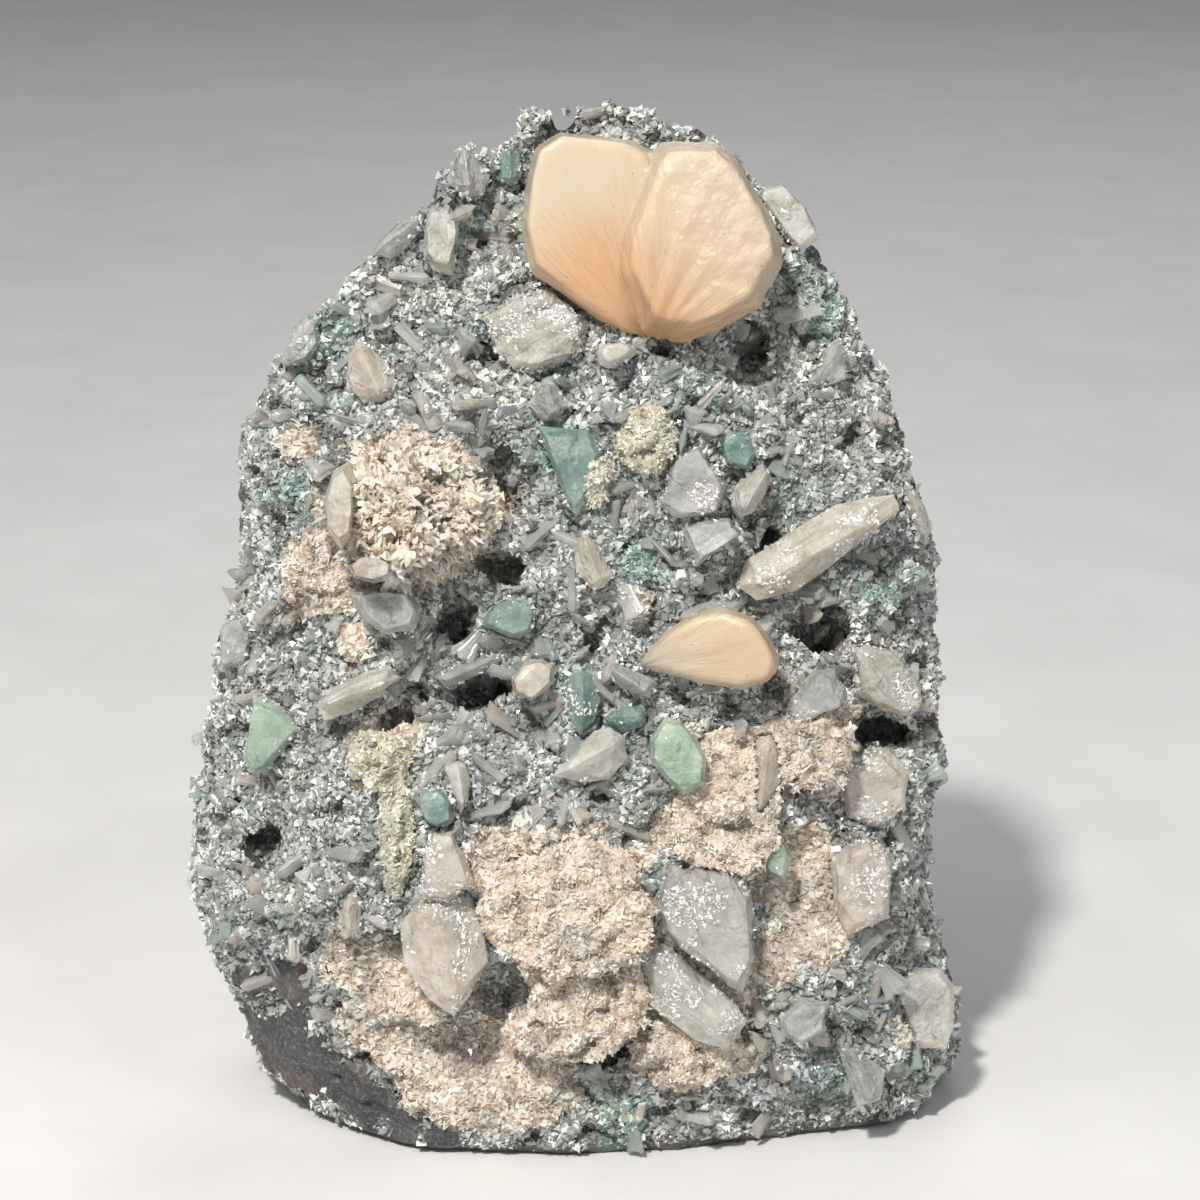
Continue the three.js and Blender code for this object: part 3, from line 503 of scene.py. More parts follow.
# A sheaf of ribs side by side, from its foot at level 0 to ragged ends at level 1.
def sheafShape(name, ribs, footHalf, endHalf, thick, ragged, seed):
    chance = random.Random(seed)
    ridge = [chance.uniform(0.55, 1.0) for k in range(ribs + 1)]
    ends = [chance.uniform(-ragged, 0) for k in range(ribs + 1)]
    corners, faces = [], []
    levels = (-0.45, 0.2, 0.64, 0.8)
    for side in (1, -1):
        for row, level in enumerate(levels):
            half = footHalf + (endHalf - footHalf) * max(level, 0) ** 0.8
            for k in range(ribs + 1):
                share = 2 * k / ribs - 1
                deep = thick * (1 - 0.75 * share * share) * ridge[k] * (0.45 if row == 3 else 1)
                last = ends[k] if row == 3 else ends[k] * 0.4 * (row == 2)
                corners.append((share * half, side * deep, level + last - 0.08 * share * share * (row == 3)))
    wide, sheet = ribs + 1, 4 * (ribs + 1)
    rows = (0, wide, 2 * wide)
    for side in (0, sheet):
        for low in rows:
            for k in range(side + low, side + low + ribs):
                faces.append((k, k + 1, k + wide + 1, k + wide))
    for row in (0, 3 * wide):
        faces += [(k, k + 1, sheet + k + 1, sheet + k) for k in range(row, row + ribs)]
    for side in (0, ribs):
        faces += [(k, k + wide, sheet + k + wide, sheet + k) for k in (side + low for low in rows)]
    return closedShape(name, corners, faces)


def closedShape(name, corners, faces):
    mesh = bpy.data.meshes.new(name)
    mesh.from_pydata(corners, [], faces)
    shell = bmesh.new()
    shell.from_mesh(mesh)
    bmesh.ops.recalc_face_normals(shell, faces=shell.faces)
    shell.to_mesh(mesh)
    shell.free()
    return bpy.data.objects.new(name, mesh)


def shapeGroup(name, shapes):
    group = bpy.data.collections.new(name)
    for shape in shapes:
        group.objects.link(shape)
    return group


def scatterTree(name):
    tree = bpy.data.node_groups.new(name, "GeometryNodeTree")
    face = tree.interface
    face.new_socket("Geometry", in_out="INPUT", socket_type="NodeSocketGeometry")
    sockets = {}
    for label, kind, value in (
        ("Density", "NodeSocketFloat", 1.0),
        ("Smallest", "NodeSocketFloat", 0.5),
        ("Largest", "NodeSocketFloat", 1.0),
        ("Tilt", "NodeSocketFloat", 0.6),
        ("Seed", "NodeSocketInt", 1),
        ("Lowest Height", "NodeSocketFloat", 0.0),
        ("Highest Height", "NodeSocketFloat", 1.0),
    ):
        socket = face.new_socket(label, in_out="INPUT", socket_type=kind)
        socket.default_value = value
        sockets[label] = socket.identifier
    for label, kind in (
        ("Shapes", "NodeSocketCollection"), ("Finish", "NodeSocketMaterial"), ("Cover", "NodeSocketString"),
    ):
        sockets[label] = face.new_socket(label, in_out="INPUT", socket_type=kind).identifier
    face.new_socket("Geometry", in_out="OUTPUT", socket_type="NodeSocketGeometry")
    made, link = tree.nodes.new, tree.links.new
    start, end = made("NodeGroupInput"), made("NodeGroupOutput")
    place, split = made("GeometryNodeInputPosition"), made("ShaderNodeSeparateXYZ")
    link(place.outputs[0], split.inputs[0])
    below, above = made("FunctionNodeCompare"), made("FunctionNodeCompare")
    either = made("FunctionNodeBooleanMath")
    below.operation, above.operation, either.operation = "LESS_THAN", "GREATER_THAN", "OR"
    link(split.outputs["Z"], below.inputs[0])
    link(start.outputs["Lowest Height"], below.inputs[1])
    link(split.outputs["Z"], above.inputs[0])
    link(start.outputs["Highest Height"], above.inputs[1])
    link(below.outputs[0], either.inputs[0])
    link(above.outputs[0], either.inputs[1])
    trim = made("GeometryNodeDeleteGeometry")
    trim.domain = "FACE"
    link(start.outputs["Geometry"], trim.inputs["Geometry"])
    link(either.outputs[0], trim.inputs["Selection"])
    cover, density = made("GeometryNodeInputNamedAttribute"), made("ShaderNodeMath")
    density.operation = "MULTIPLY"
    link(start.outputs["Cover"], cover.inputs["Name"])
    link(cover.outputs["Attribute"], density.inputs[0])
    link(start.outputs["Density"], density.inputs[1])
    spread = made("GeometryNodeDistributePointsOnFaces")
    link(trim.outputs["Geometry"], spread.inputs["Mesh"])
    link(density.outputs[0], spread.inputs["Density"])
    link(start.outputs["Seed"], spread.inputs["Seed"])
    # a random lean and spin on each point's own facing
    lean, least = made("FunctionNodeRandomValue"), made("ShaderNodeMath")
    link(start.outputs["Seed"], lean.inputs["Seed"])
    least.operation, least.inputs[1].default_value = "MULTIPLY", -1
    link(start.outputs["Tilt"], least.inputs[0])
    lean.data_type = "FLOAT_VECTOR"
    low, high = made("ShaderNodeCombineXYZ"), made("ShaderNodeCombineXYZ")
    for corner, source in ((low, least.outputs[0]), (high, start.outputs["Tilt"])):
        link(source, corner.inputs["X"])
        link(source, corner.inputs["Y"])
    low.inputs["Z"].default_value, high.inputs["Z"].default_value = -math.pi, math.pi
    link(low.outputs[0], lean.inputs["Min"])
    link(high.outputs[0], lean.inputs["Max"])
    turned, euler = made("FunctionNodeRotateRotation"), made("FunctionNodeEulerToRotation")
    turned.rotation_space = "LOCAL"
    link(lean.outputs["Value"], euler.inputs[0])
    link(spread.outputs["Rotation"], turned.inputs["Rotation"])
    link(euler.outputs[0], turned.inputs["Rotate By"])
    # small ones are the most common
    size, bent, spanned = made("FunctionNodeRandomValue"), made("ShaderNodeMath"), made("ShaderNodeMapRange")
    size.data_type = "FLOAT"
    bent.operation, bent.inputs[1].default_value = "POWER", 1.8
    link(size.outputs[1], bent.inputs[0])
    link(bent.outputs[0], spanned.inputs["Value"])
    link(start.outputs["Smallest"], spanned.inputs["To Min"])
    link(start.outputs["Largest"], spanned.inputs["To Max"])
    seeded = made("ShaderNodeMath")
    seeded.operation, seeded.inputs[1].default_value = "ADD", 7
    link(start.outputs["Seed"], seeded.inputs[0])
    link(seeded.outputs[0], size.inputs["Seed"])
    shapes, onPoints = made("GeometryNodeCollectionInfo"), made("GeometryNodeInstanceOnPoints")
    shapes.inputs["Separate Children"].default_value = True
    shapes.inputs["Reset Children"].default_value = True
    link(start.outputs["Shapes"], shapes.inputs["Collection"])
    onPoints.inputs["Pick Instance"].default_value = True
    link(spread.outputs["Points"], onPoints.inputs["Points"])
    link(shapes.outputs[0], onPoints.inputs["Instance"])
    link(turned.outputs[0], onPoints.inputs["Rotation"])
    link(spanned.outputs["Result"], onPoints.inputs["Scale"])
    tint, keep = made("FunctionNodeRandomValue"), made("GeometryNodeStoreNamedAttribute")
    tint.data_type = "FLOAT"
    again = made("ShaderNodeMath")
    again.operation, again.inputs[1].default_value = "ADD", 19
    link(start.outputs["Seed"], again.inputs[0])
    link(again.outputs[0], tint.inputs["Seed"])
    keep.domain, keep.data_type = "INSTANCE", "FLOAT"
    keep.inputs["Name"].default_value = "tint"
    link(onPoints.outputs[0], keep.inputs["Geometry"])
    link(tint.outputs[1], keep.inputs["Value"])
    real, finish = made("GeometryNodeRealizeInstances"), made("GeometryNodeSetMaterial")
    link(keep.outputs[0], real.inputs[0])
    link(real.outputs[0], finish.inputs["Geometry"])
    link(start.outputs["Finish"], finish.inputs["Material"])
    link(finish.outputs[0], end.inputs[0])
    return tree, sockets


scatter, scatterSockets = scatterTree("druse_scatter")


# A plan gives pieces for each square millimetre, their sizes in millimetres, their tilt and a seed.
def scatterOn(ground, name, shapes, finish, cover, plan, seedStep=0, heights=(0.0, 1.0)):
    made = newObject(name, ground.data.copy())
    modifier = made.modifiers.new("scatter", "NODES")
    modifier.node_group = scatter
    values = {
        "Density": plan["density"] * 1e6,
        "Smallest": plan["smallest"] * mm,
        "Largest": plan["largest"] * mm,
        "Tilt": math.radians(plan["tilt"]),
        "Seed": plan["seed"] + seedStep,
        "Lowest Height": heights[0],
        "Highest Height": heights[1],
        "Shapes": shapes,
        "Finish": finish,
        "Cover": cover,
    }
    for label, value in values.items():
        modifier[scatterSockets[label]] = value
    settle(made)
    flatShade(made.data)
    print("stage:", name, triangleCount(made.data), "triangles")
    return made


# Finishes of the druse and the rock
def rockFinish():
    material, tree, shader = newMaterial("basalt")
    cloud = noiseTexture(tree, 7.0)
    grain = noiseTexture(tree, 0.9, 5.0, 0.7)
    crystalline = ramp(tree, grain, [(0.36, (0.05, 0.055, 0.052)), (0.52, (0.19, 0.21, 0.2)),
                                     (0.68, (0.48, 0.5, 0.47))])
    basalt = ramp(tree, cloud, [(0.3, (0.035, 0.03, 0.032)), (0.6, (0.07, 0.07, 0.074)),
                                (0.8, (0.13, 0.115, 0.11))])
    rust = ramp(tree, noiseTexture(tree, 16.0, 5.0, 0.65), [(0.5, (0.0, 0.0, 0.0)),
                                                            (0.66, (0.075, 0.035, 0.02))])
    basalt = mixColour(tree, 1.0, basalt, rust, "ADD")
    green = ramp(tree, noiseTexture(tree, 11.0, 4.0, 0.6), [(0.36, (0.03, 0.045, 0.038)),
                                                            (0.48, (0.0, 0.0, 0.0))])
    basalt = mixColour(tree, 1.0, basalt, green, "ADD")
    filled = ramp(tree, noiseTexture(tree, 21.0, 2.0), [(0.46, (0.03, 0.03, 0.03)),
                                                        (0.52, (0.52, 0.5, 0.45))])
    basalt = mixColour(tree, attribute(tree, "holes"), basalt, filled)
    speck = ramp(tree, grain, [(0.5, (0.0, 0.0, 0.0)), (0.7, (0.16, 0.16, 0.155))])
    basalt = mixColour(tree, 1.0, basalt, speck, "ADD")
    colour = mixColour(tree, attribute(tree, "druse"), basalt, crystalline)
    colour = mixColour(tree, shareOf(tree, "teal", 0.5), colour, (0.16, 0.27, 0.25, 1))
    creamy = ramp(tree, grain, [(0.3, (0.36, 0.27, 0.2)), (0.6, (0.7, 0.58, 0.48))])
    colour = mixColour(tree, attribute(tree, "cream"), colour, creamy)
    stain = ramp(tree, noiseTexture(tree, 3.0), [(0.4, (0.05, 0.02, 0.015)), (0.6, (0.22, 0.045, 0.03))])
    colour = mixColour(tree, attribute(tree, "red"), colour, stain)
    # painted shade: the rock in the hollows is darkened
    colour = mixColour(tree, shareOf(tree, "dark", 0.5), colour, (0.09, 0.08, 0.07, 1))
    tree.links.new(colour, shader.inputs["Base Color"])
    tree.links.new(mapRange(tree, grain, 0.3, 0.7, 0.75, 0.35), shader.inputs["Roughness"])
    tree.links.new(bump(tree, grain, 0.5, 0.8), shader.inputs["Normal"])
    return material


def grainFinish(name, stops, tealStops, creamStops, roughness, transmission=0.0):
    material, tree, shader = newMaterial(name)
    tint = attribute(tree, "tint")
    colour = ramp(tree, tint, stops)
    colour = mixColour(tree, attribute(tree, "teal"), colour, ramp(tree, tint, tealStops))
    colour = mixColour(tree, attribute(tree, "cream"), colour, ramp(tree, tint, creamStops))
    cloud = noiseTexture(tree, 13.0, 3.0, 0.6)
    shade = ramp(tree, cloud, [(0.35, (0.72, 0.74, 0.77)), (0.5, (1.0, 1.0, 1.0)),
                               (0.68, (1.1, 1.08, 1.02))])
    colour = mixColour(tree, 1.0, colour, shade, "MULTIPLY")
    patches = ramp(tree, noiseTexture(tree, 3.4, 4.0, 0.65), [(0.34, (0.66, 0.55, 0.47)),
                                                              (0.46, (1.0, 1.0, 1.0))])
    colour = shaded(tree, attribute(tree, "cream"), colour, patches)
    # painted shade: grains in pits and crevices are darkened by the deep share
    colour = mixColour(tree, shareOf(tree, "deep", 0.68), colour, (0.17, 0.155, 0.135, 1))
    tree.links.new(colour, shader.inputs["Base Color"])
    shader.inputs["Roughness"].default_value = roughness
    shader.inputs["IOR"].default_value = 1.53
    shader.inputs["Transmission Weight"].default_value = transmission
    shader.inputs["Specular IOR Level"].default_value = 0.8
    return material


rock.data.materials.append(rockFinish())
grainStops = [(0.0, (0.18, 0.2, 0.195)), (0.3, (0.39, 0.42, 0.4)), (0.6, (0.61, 0.63, 0.6)),
              (0.85, (0.82, 0.83, 0.79)), (1.0, (0.97, 0.97, 0.94))]
grainTeal = [(0.0, (0.13, 0.19, 0.175)), (0.4, (0.32, 0.43, 0.39)), (0.8, (0.52, 0.63, 0.57)),
             (1.0, (0.8, 0.86, 0.81))]
grainCream = [(0.0, (0.44, 0.36, 0.29)), (0.2, (0.7, 0.62, 0.53)), (0.6, (0.81, 0.75, 0.65)),
              (1.0, (0.92, 0.88, 0.81))]
druseFinish = grainFinish("sugary_druse", grainStops, grainTeal, grainCream, 0.14)

sugarShapes = shapeGroup("sugar_shapes", [
    grainShape("sugar_corner_a", 3, [(-0.2, 0.78)], 0.42),
    grainShape("sugar_corner_b", 3, [(-0.3, 0.6)], 0.5, 0.9, 0.1),
    grainShape("sugar_corner_c", 3, [(-0.2, 0.9)], 0.35, 0.8, -0.2),
    grainShape("sugar_pyramid", 4, [(-0.2, 0.66)], 0.45),
    grainShape("sugar_blade", 3, [(-0.4, 0.4), (0.7, 0.36)], None, 0.6),
    grainShape("sugar_spike", 3, [(-0.4, 0.5)], 0.9, 0.6, 0.2),
    grainShape("sugar_slab", 3, [(-0.4, 0.75), (0.3, 0.62)], None, 0.8),
])
drusePlan = {
    "density": 2.1,
    "smallest": 0.6,
    "largest": 2.1,
    "tilt": 70,
    "seed": 11,
    "bands": (0.0, 0.045, 0.078, 0.112, 0.15, 0.3),
}
for index, lowest in enumerate(drusePlan["bands"][:-1]):
    piece = scatterOn(rock, "druse_band_%d" % (index + 1), sugarShapes, druseFinish, "cover", drusePlan,
                      index, (lowest, drusePlan["bands"][index + 1]))
    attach(piece, "root")
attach(rock, "root")
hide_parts("matrix_rock")

# Small clear plates, blocks and sheaves, half sunk in the druse
chipShapes = shapeGroup("chip_shapes", [
    grainShape("chip_plate", 4, [(-0.3, 0.5), (0.5, 0.6)], 0.66, 0.3, 0.25),
    grainShape("chip_blade", 4, [(-0.3, 0.3), (0.7, 0.34)], 0.95, 0.35, 0.1),
    grainShape("chip_block", 4, [(-0.4, 0.5), (0.3, 0.44)], 0.44, 0.8, 0.15),
    grainShape("chip_tablet", 6, [(-0.3, 0.55), (0.25, 0.5)], 0.32, 0.75, 0.1),
])
sheafShapes = shapeGroup("sheaf_shapes", [
    sheafShape("sheaf_wide", 9, 0.16, 0.5, 0.2, 0.12, 1),
    sheafShape("sheaf_narrow", 6, 0.14, 0.26, 0.17, 0.1, 2),
    sheafShape("sheaf_plate", 6, 0.3, 0.4, 0.12, 0.05, 3),
    sheafShape("sheaf_bow", 8, 0.24, 0.46, 0.22, 0.2, 4),
    sheafShape("sheaf_column", 5, 0.22, 0.24, 0.2, 0.04, 5),
])
chipPlan = {"density": 0.075, "smallest": 1.4, "largest": 3.8, "tilt": 65, "seed": 41}
sheafPlan = {"density": 0.024, "smallest": 2.6, "largest": 9.0, "tilt": 72, "seed": 52}


def chipFinish(name, stops, transmission):
    material, tree, shader = newMaterial(name)
    colour = ramp(tree, attribute(tree, "tint"), stops)
    lines = noiseTexture(tree, 0.7, 3.0, 0.6)
    colour = mixColour(tree, attribute(tree, "cream"), colour, (0.8, 0.71, 0.61, 1))
    tree.links.new(colour, shader.inputs["Base Color"])
    tree.links.new(mapRange(tree, lines, 0.3, 0.7, 0.05, 0.22), shader.inputs["Roughness"])
    shader.inputs["IOR"].default_value = 1.52
    shader.inputs["Transmission Weight"].default_value = transmission
    tree.links.new(bump(tree, lines, 0.16, 0.7), shader.inputs["Normal"])
    return material


chipStops = [(0.0, (0.6, 0.65, 0.63)), (0.35, (0.78, 0.8, 0.77)), (0.6, (0.9, 0.9, 0.85)),
             (0.85, (0.86, 0.8, 0.72)), (1.0, (0.66, 0.82, 0.76))]
smallPieces = (
    ("clear_chips", chipShapes, chipPlan, chipFinish("clear_chips", chipStops, 0.72)),
    ("clear_sheaves", sheafShapes, sheafPlan, chipFinish("clear_sheaves", chipStops, 0.66)),
)
for name, shapes, plan, finish in smallPieces:
    piece = scatterOn(rock, name, shapes, finish, "inner", plan)
    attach(piece, "root")


# Druse that climbs the feet of the larger crystals
skirtPlan = {
    "voxel": 0.9,
    "reach": 2.2,
    "density": 1.3,
    "smallest": 0.5,
    "largest": 1.4,
    "tilt": 70,
    "seed": 33,
}


def makeSkirts():
    names = [name for name in nodes if not name.startswith(("matrix_", "cream_", "peach_"))]
    corners, faces = solidsOf(names)
    mesh = bpy.data.meshes.new("crystal_feet")
    mesh.from_pydata(corners, [], faces)
    feet = newObject("crystal_feet", mesh)
    weld(feet)
    remesh(feet, skirtPlan["voxel"])
    ground = surfaceTree(rock.data)
    points = pointsOf(feet.data)
    gap = np.full(len(points), 1.0)
    for i, p in enumerate(points):
        found = ground.find_nearest(Vector(p), 0.006)
        if found[0] is not None:
            gap[i] = (Vector(p) - found[0]).dot(found[1])
    gap += noiseAt(points, 4.0, 6.0) * 0.0011 + noiseAt(points, 1.6, 2.0) * 0.0005
    reach = skirtPlan["reach"] * mm
    storeFloat(feet.data, "cover", smoothStep(reach, reach * 0.35, gap) * smoothStep(-0.0012, -0.0003, gap))
    wobble = noiseAt(points, 9.0)
    storeFloat(feet.data, "cream", shareIn(points, creamPatches, ground, wobble * 0.35))
    storeFloat(feet.data, "teal", shareIn(points, tealPatches, ground, wobble * 0.5, (1.4, 0.5)))
    skirts = scatterOn(feet, "druse_on_crystals", sugarShapes, druseFinish, "cover", skirtPlan)
    bpy.data.objects.remove(feet)
    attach(skirts, "root")


makeSkirts()


# Cream crusts and the spiky ball: a lumpy body for each solid, with its own coat of grains
def crustFinish(name, dark, middle, pale):
    material, tree, shader = newMaterial(name)
    grain = noiseTexture(tree, 0.8, 5.0, 0.7)
    colour = ramp(tree, grain, [(0.3, dark), (0.46, middle), (0.66, pale)])
    cloud = ramp(tree, noiseTexture(tree, 9.0), [(0.35, (0.84, 0.77, 0.74)), (0.65, (1.0, 1.0, 1.0))])
    tree.links.new(mixColour(tree, 1.0, colour, cloud, "MULTIPLY"), shader.inputs["Base Color"])
    shader.inputs["Roughness"].default_value = 0.7
    shader.inputs["Subsurface Weight"].default_value = 0.12
    shader.inputs["Subsurface Radius"].default_value = (0.002, 0.0014, 0.001)
    shader.inputs["Subsurface Scale"].default_value = 1.0
    tree.links.new(bump(tree, grain, 0.5, 0.8), shader.inputs["Normal"])
    return material


creamBody = crustFinish("cream_crust_body", (0.36, 0.28, 0.22), (0.66, 0.58, 0.47), (0.86, 0.8, 0.7))
strawBody = crustFinish("straw_crust_body", (0.26, 0.24, 0.17), (0.55, 0.52, 0.41), (0.78, 0.76, 0.64))
creamGrain = grainFinish("cream_grains", grainCream, grainTeal, grainCream, 0.38)
strawGrain = grainFinish("straw_grains", [(0.0, (0.34, 0.32, 0.24)), (0.3, (0.6, 0.58, 0.47)),
                                          (1.0, (0.84, 0.82, 0.72))], grainTeal, grainCream, 0.35)
ballShapes = shapeGroup("ball_shapes", [
    grainShape("ball_blade", 3, [(-0.3, 0.18), (0.7, 0.22)], 1.0, 0.5, 0.1),
    grainShape("ball_flake", 3, [(-0.3, 0.24), (0.5, 0.3)], 0.72, 0.45, -0.15),
    grainShape("ball_crumb", 3, [(-0.3, 0.26), (0.3, 0.28)], 0.5),
])
tuftShapes = shapeGroup("tuft_shapes", [
    grainShape("tuft_corner", 3, [(-0.2, 0.5)], 0.4, 0.9, 0.1),
    grainShape("tuft_long", 3, [(-0.4, 0.22), (0.8, 0.2)], None, 0.8),
    grainShape("tuft_block", 3, [(-0.4, 0.44), (0.36, 0.4)], None, 0.9),
    grainShape("tuft_point", 3, [(-0.3, 0.34)], 0.8, 0.7, 0.12),
])
crustPlan = {
    "voxel": 0.8, "lump": 5.2, "knob": 3.6, "sink": 0.9,
    "density": 3.0, "smallest": 0.65, "largest": 1.95, "tilt": 70, "seed": 60,
}
ballPlan = {
    "voxel": 0.8, "lump": 5.0, "knob": 4.0, "sink": 2.6,
    "density": 2.2, "smallest": 1.6, "largest": 4.6, "tilt": 42, "seed": 60,
}


def crustBody(node, finish, plan):
    body = mergedCopy(node, node + "_body")
    remesh(body, plan["voxel"])
    mesh = body.data
    points, normals = pointsOf(mesh), normalsOf(mesh)
    first = cellsAt(points, plan["lump"], 2.0)[0]
    holes = smoothStep(0.15, 0.5, noiseAt(points, plan["lump"], 9.0))
    out = (0.5 - first) * plan["knob"] + noiseAt(points, plan["lump"] * 0.45, 7.0) * plan["knob"] * 0.35
    out -= plan["sink"] + holes * plan["knob"] * 0.6
    # where the crust meets another solid it keeps its own surface, so no crack opens
    away = np.array([min(tree.find_nearest(Vector(p))[3] for tree in otherSolids) for p in points])
    out *= smoothStep(0.0003, 0.003, away)
    setPoints(mesh, points + normals * out[:, None] * mm)
    storeFloat(mesh, "cover", np.clip(1.0 - 0.6 * smoothStep(0.3, 0.65, first), 0, 1))
    # painted shade: grains between the lumps and in the holes are darkened by the deep share
    storeFloat(mesh, "deep", np.clip(smoothStep(0.5, 0.8, first) * 0.4 + holes * 0.35, 0, 1))
    storeFloat(mesh, "cream", np.ones(len(points)) * (slotOf[node] != "straw_heulandite"))
    mesh.materials.append(finish)
    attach(body, "root")
    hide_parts(node)
    return body


crustNodes = [node for node in sorted(nodes) if node.startswith("cream_")]
crystalNodes = [node for node in sorted(nodes) if node != "matrix_rock" and node not in crustNodes]
otherSolids = (surfaceTree(nodes["matrix_rock"].data), BVHTree.FromPolygons(*solidsOf(crystalNodes)))
for index, node in enumerate(crustNodes):
    isBall = node == "cream_spiky_ball"
    isStraw = slotOf[node] == "straw_heulandite"
    plan = ballPlan if isBall else crustPlan
    shapes = ballShapes if isBall else tuftShapes
    finish = strawGrain if isStraw else creamGrain
    body = crustBody(node, strawBody if isStraw else creamBody, plan)
    coat = scatterOn(body, node + "_coat", shapes, finish, "cover", plan, index)
    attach(coat, "root")


# Larger crystals. Lengths are millimetres. Focus is how many lengths behind the root the fibres meet.
crystalLooks = {
    "mint_green_apophyllite": {
        "strip": 3.4, "ledge": 3.0, "stepOut": 0.05, "swell": 0.1, "focus": 9, "broadOut": 0.12,
        "crown": 0.3, "ragged": 0.0, "across": 4, "bevel": 0.35,
        "colours": ((0.4, 0.56, 0.43), (0.56, 0.71, 0.57), (0.72, 0.84, 0.71)),
        "roughness": (0.05, 0.14), "transmission": 0.35, "subsurface": 0.4,
        "radius": (0.003, 0.005, 0.0035), "streak": 0.0,
        "stretch": 0.6, "pitted": 0.16, "line": 2.6, "facets": 6, "chamfer": 0.2,
    },
    "blue_green_apophyllite": {
        "strip": 2.2, "ledge": 2.4, "stepOut": 0.12, "swell": 0.15, "focus": 5, "broadOut": 0.35,
        "crown": 0.2, "ragged": 0.2, "across": 4, "bevel": 0.3,
        "colours": ((0.22, 0.35, 0.32), (0.38, 0.53, 0.48), (0.6, 0.72, 0.66)),
        "roughness": (0.05, 0.16), "transmission": 0.45, "subsurface": 0.3,
        "radius": (0.002, 0.004, 0.0035), "streak": 0.1,
        "stretch": 0.4, "pitted": 0.25, "line": 1.8, "facets": 5, "chamfer": 0.2,
    },
    "milky_crystal": {
        "strip": 1.7, "ledge": 2.2, "stepOut": 0.1, "swell": 0.2, "focus": 4, "broadOut": 0.3, "crown": 0.4,
        "ragged": 0.3, "across": 5, "bevel": 0.45,
        "colours": ((0.62, 0.59, 0.53), (0.8, 0.77, 0.7), (0.93, 0.91, 0.86)),
        "roughness": (0.03, 0.12), "transmission": 0.3, "subsurface": 0.4,
        "radius": (0.004, 0.0035, 0.003), "streak": 0.2,
        "stretch": 0.3, "pitted": 0.25, "line": 1.2, "facets": 4, "chamfer": 0.14,
    },
    "blush_stilbite": {
        "strip": 1.3, "ledge": 1.7, "stepOut": 0.11, "swell": 0.35, "focus": 2.0, "broadOut": 0.5,
        "crown": 0.5, "ragged": 0.7, "across": 5, "bevel": 0.3,
        "colours": ((0.66, 0.56, 0.48), (0.83, 0.75, 0.66), (0.92, 0.87, 0.8)),
        "roughness": (0.04, 0.16), "transmission": 0.32, "subsurface": 0.45,
        "radius": (0.005, 0.003, 0.002), "streak": 0.22,
        "stretch": 0.06, "pitted": 0.2, "line": 0.7, "facets": 6, "chamfer": 0.22,
    },
    "straw_heulandite": {
        "strip": 0.85, "ledge": 1.3, "stepOut": 0.3, "swell": 0.3, "focus": 0.9, "broadOut": 1.2,
        "crown": 0.8, "ragged": 1.2, "across": 5, "bevel": 0.2,
        "colours": ((0.56, 0.53, 0.46), (0.74, 0.71, 0.63), (0.88, 0.86, 0.79)),
        "roughness": (0.04, 0.16), "transmission": 0.34, "subsurface": 0.35,
        "radius": (0.004, 0.0035, 0.0025), "streak": 0.55,
        "stretch": 0.04, "pitted": 0.2, "line": 0.6, "facets": 4, "chamfer": 0.16,
    },
    "smoky_heulandite": {
        "strip": 1.1, "ledge": 1.5, "stepOut": 0.16, "swell": 0.3, "focus": 1.6, "broadOut": 0.7,
        "crown": 0.4, "ragged": 0.9, "across": 5, "bevel": 0.2,
        "colours": ((0.54, 0.54, 0.52), (0.73, 0.73, 0.7), (0.91, 0.91, 0.88)),
        "roughness": (0.03, 0.14), "transmission": 0.46, "subsurface": 0.3,
        "radius": (0.003, 0.003, 0.003), "streak": 0.35,
        "stretch": 0.05, "pitted": 0.25, "line": 0.6, "facets": 5, "chamfer": 0.2,
    },
    "clear_heulandite": {
        "strip": 1.1, "ledge": 1.8, "stepOut": 0.42, "swell": 0.3, "focus": 4, "broadOut": 1.3,
        "crown": 0.8, "ragged": 0.6, "across": 7, "bevel": 0.3,
        "colours": ((0.78, 0.72, 0.66), (0.92, 0.87, 0.82), (0.98, 0.97, 0.95)),
        "roughness": (0.02, 0.1), "transmission": 0.5, "subsurface": 0.3,
        "radius": (0.004, 0.003, 0.003), "streak": 0.3,
        "stretch": 0.12, "pitted": 0.6, "line": 0.8, "facets": 3, "chamfer": 0.1,
    },
}
# Where the fibres of some crystals start and end on the photograph. The others follow their own length.
fibreLines = {
    "heulandite_sheaf_under_fan": ((604, 300), (512, 350)),
    "heulandite_grey_half_lens": ((382, 588), (392, 634)),
    "heulandite_clear_block": ((690, 862), (735, 985)),
    "heulandite_right_block": ((858, 645), (905, 712)),
    "stilbite_domed_prism": ((860, 838), (862, 930)),
    "heulandite_blue_grey_block": ((662, 505), (715, 462)),
    "heulandite_striped_fan": ((742, 524), (684, 556)),
    "heulandite_fan_upper_left": ((444, 210), (441, 276)),
    "heulandite_right_triangle": ((832, 668), (796, 722)),
    "stilbite_cluster_low_left": ((446, 832), (462, 1012)),
    "stilbite_on_ball_upper": ((352, 466), (344, 552)),
    "stilbite_right_block": ((846, 760), (900, 820)),
}


